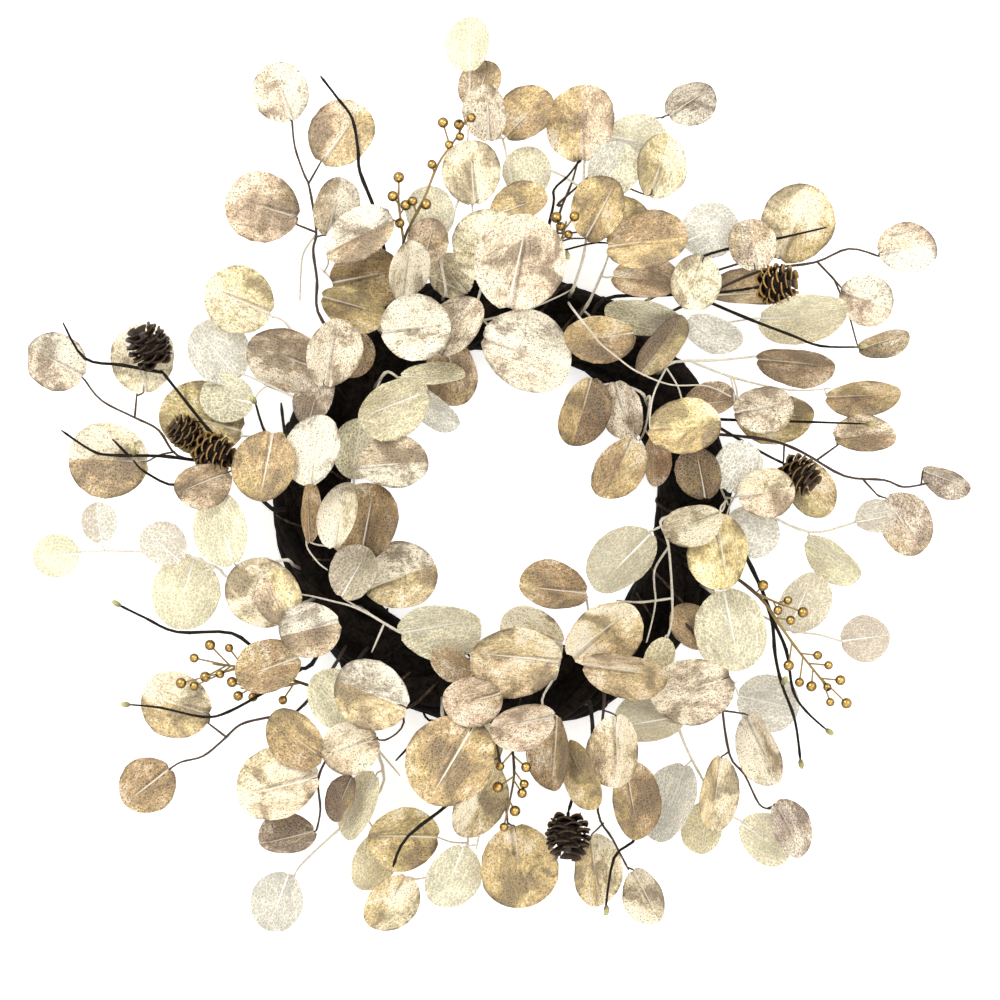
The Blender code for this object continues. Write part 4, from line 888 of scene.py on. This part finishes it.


# A range is two marks and the shares they give.
# the white frosting colour is laid on partly as pale frosting on the leaf and partly as painted highlights,
# the glint of the metal leaf
goldLook = dict(patchScale=40.0, grainScale=620.0, driftScale=24.0, frost=(0.98, 0.89, 0.70, 1.0),
                # the dark fleck colour is the leaf's own flecks and brown rim, and also the painted shadow
                # beside the midrib
                fleck=(0.050, 0.024, 0.008, 1.0), rib=(0.93, 0.86, 0.72, 1.0),
                olive=(0.44, 0.32, 0.085, 1.0), umber=(0.33, 0.195, 0.080, 1.0),
                oliveRange=(0.50, 0.68, 0.0, 0.45), umberRange=(0.46, 0.32, 0.0, 0.40),
                grainRange=(0.36, 0.66, 0.72, 1.42), patchRange=(0.34, 0.66, 0.72, 1.40),
                fibreRange=(0.30, 0.70, 0.70, 1.35), frostAndGlintRange=(1.06, 1.30, 0.0, 0.90),
                pitRange=(0.54, 0.63, 0.0, 1.0), ribRange=(0.0, 1.0, 0.35, 0.90),
                roughRange=(0.35, 0.65, 0.60, 0.36), metalRange=(0.42, 0.66, 0.0, 0.3))


def goldLeafMaterial(speckle, veins):
    look = goldLook
    material, shader, where, tone, mood = newMaterial("goldLeaf")
    marks, lines = leafMarks(look, speckle, veins, where, mood)
    patch, grain, fibre = marks["Patch"], marks["Grain"], lines["Fibre"]
    drift = noise(where, look["driftScale"], 2.0, 0.5, 0.4)
    colour = blend(tone, look, (spread(drift, *look["oliveRange"]), "olive"),
                   (spread(drift, *look["umberRange"]), "umber"))
    colour = brighten(colour, spread(grain, *look["grainRange"]), spread(patch, *look["patchRange"]))
    stain = times(spread(patch, 0.50, 0.36), 0.62)
    colour = blend(colour, look, (stain, brighten(colour, 0.36)), (times(stain, 0.45), "umber"))
    colour = brighten(colour, spread(fibre, *look["fibreRange"]))
    # heat picks where the white goes: partly the leaves' pale frosting, partly painted highlights
    heat = weighed((patch, 1.05), (grain, 0.30), (fibre, 0.55), (mood["Red"], 0.33))
    pits = spread(weighed((marks["Fleck"], 1.0), (mood["Green"], 0.20), (fibre, -0.22)),
                  *look["pitRange"])
    rim = times(lines["Edge"], spread(patch, 0.40, 0.58, 0.55, 0.0))
    # flecks, veins, net and rim are the leaf's own marks; the Shade step lays painted shadow beside the
    # midrib in the dark fleck colour
    colour = blend(colour, look, (spread(heat, *look["frostAndGlintRange"]), "frost"), (times(pits, 0.88), "fleck"),
                   (times(lines["Veins"], 0.14), "rib"), (times(marks["Net"], 0.16), "rib"),
                   (times(lines["Shade"], 0.45), "fleck"),
                   (times(lines["Midrib"], spread(mood["Blue"], *look["ribRange"])), "rib"), (rim, "fleck"))
    height = weighed((fibre, 1.6), (lines["Midrib"], 1.0), (grain, 0.5), (patch, 2.0))
    feed(shader, {"Base Color": colour, "Roughness": spread(grain, *look["roughRange"]),
                  "Metallic": spread(grain, *look["metalRange"]), "Normal": relief(height, 0.75, 0.0009)})
    return material


paleLook = dict(patchScale=45.0, grainScale=480.0, lace=(0.42, 0.36, 0.22, 1.0),
                rib=(0.98, 0.96, 0.90, 1.0), roughness=0.65,
                fibreRange=(0.35, 0.65, 0.74, 1.10), netRange=(0.0, 1.0, 0.82, 1.10),
                patchRange=(0.36, 0.62, 0.82, 1.06), laceRange=(0.50, 0.66, 0.0, 0.75),
                bodyRange=(0.35, 0.60, 0.52, 0.84))


def paleLeafMaterial(speckle, veins):
    look = paleLook
    material, shader, where, tone, mood = newMaterial("paleLeaf")
    marks, lines = leafMarks(look, speckle, veins, where, mood)
    fibre, net, midrib = lines["Fibre"], marks["Net"], lines["Midrib"]
    colour = brighten(tone, spread(fibre, *look["fibreRange"]), spread(net, *look["netRange"]),
                      spread(marks["Patch"], *look["patchRange"]))
    share = weighed((marks["Fleck"], 1.0), (mood["Green"], 0.42), (fibre, -0.20))
    colour = blend(colour, look, (spread(share, *look["laceRange"]), "lace"),
                   (times(lines["Veins"], 0.35), "rib"), (times(midrib, 0.85), "rib"))
    body = weighed((spread(fibre, *look["bodyRange"]), 1.0), (lines["Veins"], 0.18), (net, 0.18),
                   (midrib, 0.4))
    body.node.use_clamp = True
    height = weighed((fibre, 1.0), (lines["Veins"], 1.0), (midrib, 1.0))
    feed(shader, {"Base Color": colour, "Roughness": look["roughness"], "Alpha": body,
                  "Normal": relief(height, 0.5, 0.0006)})
    return material


barkLooks = dict(stemSkin=dict(scale=700.0, roughness=0.55, low=0.75, high=1.2),
                 twigBark=dict(scale=420.0, roughness=0.7, low=0.4, high=2.2, shine=0.12),
                 vineBark=dict(scale=160.0, roughness=0.85, low=0.3, high=2.0, shine=0.06),
                 coneScale=dict(scale=380.0, roughness=0.42, low=0.7, high=1.5))


def barkMaterial(name, bark, scale, roughness, low, high, shine=0.25):
    # the tone is darkened in the cracks and brightened on the ridges, painted shade in the low places and
    # painted light on the raised ones
    material, shader, where, tone, _ = newMaterial(name)
    marks = useGroup(bark, {"Position": where, "Scale": scale})
    feed(shader, {"Base Color": brighten(tone, spread(marks["Shade"], 0.35, 0.7, low, high)),
                  "Roughness": roughness, "Specular IOR Level": shine,
                  "Normal": relief(marks["Height"], 0.7, 0.0008)})
    return material


berryLook = dict(patchScale=300.0, grainScale=1500.0, metal=0.85, patchRange=(0.35, 0.65, 0.75, 1.25),
                 roughRange=(0.3, 0.7, 0.16, 0.32))


def berryMaterial(speckle):
    look = berryLook
    material, shader, where, tone, _ = newMaterial("goldBerry")
    marks = useGroup(speckle, {"Position": where, "Patch Scale": look["patchScale"],
                               "Grain Scale": look["grainScale"]})
    feed(shader, {"Base Color": brighten(tone, spread(marks["Patch"], *look["patchRange"])),
                  "Roughness": spread(marks["Grain"], *look["roughRange"]), "Metallic": look["metal"],
                  "Normal": relief(marks["Grain"], 0.25, 0.0003)})
    return material


speckle, veins, bark = speckleGroup(), veinGroup(), barkGroup()
goldLeaf = goldLeafMaterial(speckle, veins)
paleLeaf = paleLeafMaterial(speckle, veins)
stemSkin, twigBark, vineBark, coneScale = [barkMaterial(name, bark, **look)
                                           for name, look in barkLooks.items()]
goldBerry = berryMaterial(speckle)
print("materials ready")

# the vine ring: strands that twist round its middle line, with thin binders round them
binder = dict(count=26, steps=22, radius=0.0011, sweep=0.42, turns=0.9, wide=0.0242, high=0.0212,
              light=(0.05, 0.034, 0.024), dark=(0.011, 0.008, 0.006))


def strandPoint(turn, around, out):
    angle = around + ring["turns"] * turn
    wobble = 1.0 + 0.07 * math.sin(7.0 * turn + 2.0 * around) + 0.04 * math.sin(17.0 * turn + around)
    reach = ring["radius"] + ring["halfWidth"] * out * wobble * math.cos(angle)
    height = ring["lift"] + ring["halfHeight"] * out * wobble * math.sin(angle)
    return planPoint(*ring["middle"]) + polar(turn, reach, height)


def buildRing():
    shape = newShape()
    rows, strands = ring["rows"], ring["strands"]
    for strand in range(strands + 1):  # the last one is the core
        out = 1.0 if strand < strands else 0.0
        path = [strandPoint(math.tau * k / rows, math.tau * strand / strands, out) for k in range(rows + 1)]
        thick = ring["strandRadius"] * (1.0 + 0.14 * math.sin(strand * 2.4)) if out else ring["coreRadius"]
        radii = [thick * (1.0 + 0.09 * math.sin(k * 0.61 + strand)) for k in range(rows)]
        radii.append(radii[0])
        for point, radius in zip(path, radii):
            point.z = max(point.z, radius)
        tone = [part * (0.8 + 0.5 * (strand % 3)) for part in ring["tone"]]
        addTube(shape, path, radii, 0, tone, ring["sides"])
    last = binder["steps"] - 1
    for number in range(binder["count"]):
        start = math.tau * number / binder["count"]
        path = []
        for k in range(last + 1):
            turn = start + binder["sweep"] * k / last + 0.05 * sway(number, 3, 1)
            angle = math.tau * binder["turns"] * k / last + number
            middle = planPoint(*ring["middle"]) + polar(turn, ring["radius"], ring["lift"])
            way = polar(turn) * math.cos(angle)
            way.z = math.sin(angle)
            point = middle + Vector((way.x * binder["wide"], way.y * binder["wide"],
                                     way.z * binder["high"]))
            point.z = max(point.z, binder["radius"])
            path.append(point)
        radii = [binder["radius"] * (1.0 - 0.3 * abs(2.0 * k / last - 1.0)) for k in range(last + 1)]
        addTube(shape, path, radii, 0, binder["light" if number % 3 else "dark"], 6)
    finishMesh("vine_ring", shape, [vineBark])


buildRing()
print("vine ring ready")


def addStems(shape, paths, slot, tone, radius, fade):
    for path in paths:
        first = path is paths[0]
        thick = radius if first else radius * stems["branch"]
        line = [path[0]] + rounded(path[1:]) if first else rounded(path)
        radii = []
        for k in range(len(line)):
            knot = stems["knot"] * max(0.0, math.cos(k * math.tau / 4.0)) ** 3
            radii.append(thick * (1.0 + (stems["tip"] - 1.0) * k / (len(line) - 1)) * (1.0 + knot))
        if not first:
            radii[0] *= 0.6
        radii[-1] *= 0.6
        addTube(shape, line, radii, slot, tone, stems["sides"], stems["rootTone"] if first else None, fade)


def addLooseStem(shape, route, paths):
    points = [planPoint(x, y, height * mm) for x, y, height in route]
    path, _, along = nearestPath(paths, points[0])
    points[0] = pointAlong(path, along)
    line = rounded(points, 5)
    radii = [stems["radius"] * (0.72 - 0.3 * k / (len(line) - 1)) for k in range(len(line))]
    addTube(shape, line, radii, 1, stems["cream"], 7)


def buildLeafySprays():
    for node, spray in leafySprays.items():
        gold = node.startswith("gold")
        finishesAndFoldShading = goldFinishesAndFoldShading if gold else paleFinishesAndFoldShading
        solid = solidTree(node)
        paths = fittedPaths(spray, solid)
        shape = newShape()
        tone = stems[spray.get("skin", "cream")]
        addStems(shape, paths, 1, tone, stems["radius"], stems["rootFade"])
        for leaf in spray["leaves"]:
            addBlade(shape, fittedPose(leaf, paths, solid), leaf[-1], finishesAndFoldShading, tone)
        for leaf in lateLeaves.get(node, []):
            addBlade(shape, leafPose(leaf, paths, (0, 0), 0), leaf[-1], finishesAndFoldShading, tone)
        for route in looseStems.get(node, []):
            addLooseStem(shape, route, paths)
        finishMesh(node, shape, [goldLeaf if gold else paleLeaf, stemSkin])


buildLeafySprays()
print("leafy sprays ready")

# The rows of a cone's scale go from its root over the top, the lips and the underside, each with
# its reach, half width and rise.
bud = dict(length=0.007, radius=0.0019, tip=(0.55, 0.52, 0.22), base=(0.10, 0.065, 0.035))
cone = dict(core=0.70, long=0.86, scales=40, scaleSize=0.56, lipSteps=6, tone=(0.022, 0.011, 0.006),
            edge=(0.62, 0.36, 0.10), lift=0.004, stalk=0.0011, lips=(2, 3),
            rows=((0.0, 0.30, -0.10), (0.55, 0.62, 0.02), (0.92, 0.80, 0.20), (1.02, 0.86, 0.16),
                  (0.96, 0.82, 0.02), (0.40, 0.40, -0.20)))
twig = dict(tone=(0.012, 0.009, 0.007), girth=0.92)
# a berry's bright and dark tones are painted light on its top and painted shade on its sides and underneath
berry = dict(radius=0.0032, stalk=0.0006, bright=(0.56, 0.35, 0.10), deep=(0.055, 0.028, 0.008),
             stem=(0.36, 0.24, 0.085), calyx=(0.05, 0.028, 0.012), darkRoot=0.110)


def addBuds(shape, buds, paths):
    def tint(way, _):
        return mixed(bud["base"], bud["tip"], limited(way.z * 0.5 + 0.5))

    for x, y, heading in buds:
        path, _, along = nearestPath(paths, planPoint(x, y))
        way = polar(math.radians(heading), 1.0, 0.3).normalized()
        centre = pointAlong(path, max(along - 1.5 * mm, 0.0)) + way * bud["length"] * 0.45
        addBall(shape, centre, (bud["radius"], bud["radius"], bud["length"] * 0.5), way, 1, tint, 8, 10)


def addConeScale(shape, root, out, axis, size, gilt):
    # a broad cupped plate, dark but for its thick outer lip
    wide = out.cross(axis).normalized()
    start = len(shape["points"])
    steps, count = cone["lipSteps"], len(cone["rows"])
    for reach, half, rise in cone["rows"]:
        for step in range(steps + 1):
            share = 2.0 * step / steps - 1.0
            bow = math.sqrt(1.0 - 0.55 * share * share)
            shape["points"].append(root + out * size * reach * bow + wide * size * half * share
                                   + axis * size * (rise + 0.16 * share * share))
    dark, bright = (*cone["tone"], 1.0), (*mixed(cone["tone"], cone["edge"], gilt), 1.0)
    for row in range(count):
        after = (row + 1) % count
        ends = [bright if k in cone["lips"] else dark for k in (row, after)]
        for step in range(steps):
            cells = ((row, step), (after, step), (after, step + 1), (row, step + 1))
            addFace(shape, [start + r * (steps + 1) + c for r, c in cells], 1,
                    [ends[0], ends[1], ends[1], ends[0]], [(0.0, 0.0, 0.5, 1.0)] * 4,
                    [(step / steps, row / count)] * 4)


def addCones(shape, cones, paths):
    for x, y, heading, wide, long, gilt in cones:
        place = planPoint(x, y)
        path, _, along = nearestPath(paths, place)
        start = pointAlong(path, along)
        axis = polar(math.radians(heading), 1.0, 0.25).normalized()
        place.z = start.z + cone["lift"]
        radius, half = wide * mm * 0.5, long * mm * 0.5
        core, reach = cone["core"], cone["long"]
        addBall(shape, place, (radius * core, radius * core, half * reach), axis, 1,
                lambda way, _: cone["tone"], 10, 12)
        frameTurn = axis.to_track_quat("Z", "Y").to_matrix()
        for k in range(cone["scales"]):
            height = -reach + 1.74 * (k + 0.5) / cone["scales"]
            girth = math.sqrt(max(0.05, 1.0 - height * height))
            out = frameTurn @ polar(k * 2.399963)  # the golden angle
            lean = (out * girth + axis * height * 0.8).normalized()
            root = place + out * radius * core * girth * 0.93 + axis * half * reach * height
            size = radius * cone["scaleSize"] * (0.75 + 0.25 * girth)
            addConeScale(shape, root, lean, axis, size, gilt * (0.8 + 0.2 * math.sin(k * 1.7)))
        if (place - start).length > 0.35 * long * mm:
            addTube(shape, [start, start.lerp(place, 0.5), place], [cone["stalk"]] * 3, 0, twig["tone"], 8)


def buildTwigs():
    for node, spray in bareTwigs.items():
        paths = fittedPaths(spray, solidTree(node))
        shape = newShape()
        addStems(shape, paths, 0, twig["tone"], spray["radius"] * mm * twig["girth"], stems["rootFade"])
        addBuds(shape, spray.get("buds", []), paths)
        addCones(shape, spray.get("cones", []), paths)
        finishMesh(node, shape, [twigBark, coneScale])


def buildBerrySprays():
    # berries are painted brighter where they face up and darker on their sides and underneath, painted light
    # and shade; the calyx at the outer pole is its own dark colour
    def tint(way, world):
        return berry["calyx"] if way.z > 0.93 else mixed(berry["deep"], berry["bright"],
                                                         limited(2.2 * world.z - 0.95))

    for node, spray in berrySprays.items():
        paths = fittedPaths(spray, solidTree(node))
        shape = newShape()
        addStems(shape, paths, 1, berry["stem"], spray["radius"] * mm, berry["darkRoot"])
        for x, y, rise in spray["berries"]:
            place = planPoint(x, y)
            path, gap, along = nearestPath(paths, place)
            start = pointAlong(path, max(along - 0.8 * gap - 2 * mm, 2 * mm))
            place.z = start.z + rise * mm
            size = berry["radius"] * (1.0 + 0.12 * sway(x, y, 1))
            bow = start.lerp(place, 0.5) + Vector((0.0, 0.0, 0.04 * gap))
            line = rounded([start, bow, place], 3)
            addTube(shape, line, [berry["stalk"]] * len(line), 1, berry["stem"], 6)
            addBall(shape, place, (size, size, size), (place - start).normalized(), 0, tint, 9, 14)
        finishMesh(node, shape, [goldBerry, stemSkin])


buildTwigs()
buildBerrySprays()
print("twigs, cones and berries ready")

# the room: a pale floor, soft light and a long lens straight above
room = dict(floor=3.0, floorTone=(0.92, 0.92, 0.92, 1.0), floorGlow=0.55, sky=0.95,
            lamps=[(-1.6, 1.8, 2.6, 1.6, 60.0), (1.8, 0.6, 2.2, 1.8, 26.0), (0.2, -2.0, 2.4, 1.6, 16.0)])
view = dict(distance=6.0, width=1000.0 * plan["step"], height=0.05, sensor=36.0)


def buildRoom():
    white = (1.0, 1.0, 1.0, 1.0)
    mesh = bpy.data.meshes.new("floor")
    signs = ((-1, -1), (1, -1), (1, 1), (-1, 1))
    mesh.from_pydata([(x * room["floor"], y * room["floor"], -0.0004) for x, y in signs], [], [(0, 1, 2, 3)])
    paint = bpy.data.materials.new("floorPaint")
    paint.use_nodes = True
    feed(paint.node_tree.nodes["Principled BSDF"], {
        "Base Color": room["floorTone"], "Roughness": 0.9, "Emission Color": white,
        "Emission Strength": room["floorGlow"]})
    mesh.materials.append(paint)
    floor = addToScene("floor", mesh)

    world = bpy.data.worlds.new("studio")
    world.use_nodes = True
    feed(world.node_tree.nodes["Background"], {"Color": white, "Strength": room["sky"]})
    bpy.context.scene.world = world
    for index, (x, y, z, size, power) in enumerate(room["lamps"]):
        light = bpy.data.lights.new("softLamp%d" % index, "AREA")
        light.shape = "SQUARE"
        light.size = size
        light.energy = power
        lamp = addToScene("softLamp%d" % index, light)
        lamp.location = (x, y, z)
        lamp.rotation_euler = (-lamp.location).to_track_quat("-Z", "Y").to_euler()

    lens = bpy.data.cameras.new("longLens")
    lens.sensor_width = view["sensor"]
    lens.lens = view["sensor"] * view["distance"] / view["width"]
    lens.clip_end = 30.0
    camera = addToScene("longLens", lens)
    camera.location = planPoint(*plan["view"], view["height"]) + Vector((0.0, 0.0, view["distance"]))
    bpy.context.scene.camera = camera
    bpy.context.scene.view_settings.view_transform = "Standard"


buildRoom()
print("room ready")

bpy.context.view_layer.update()
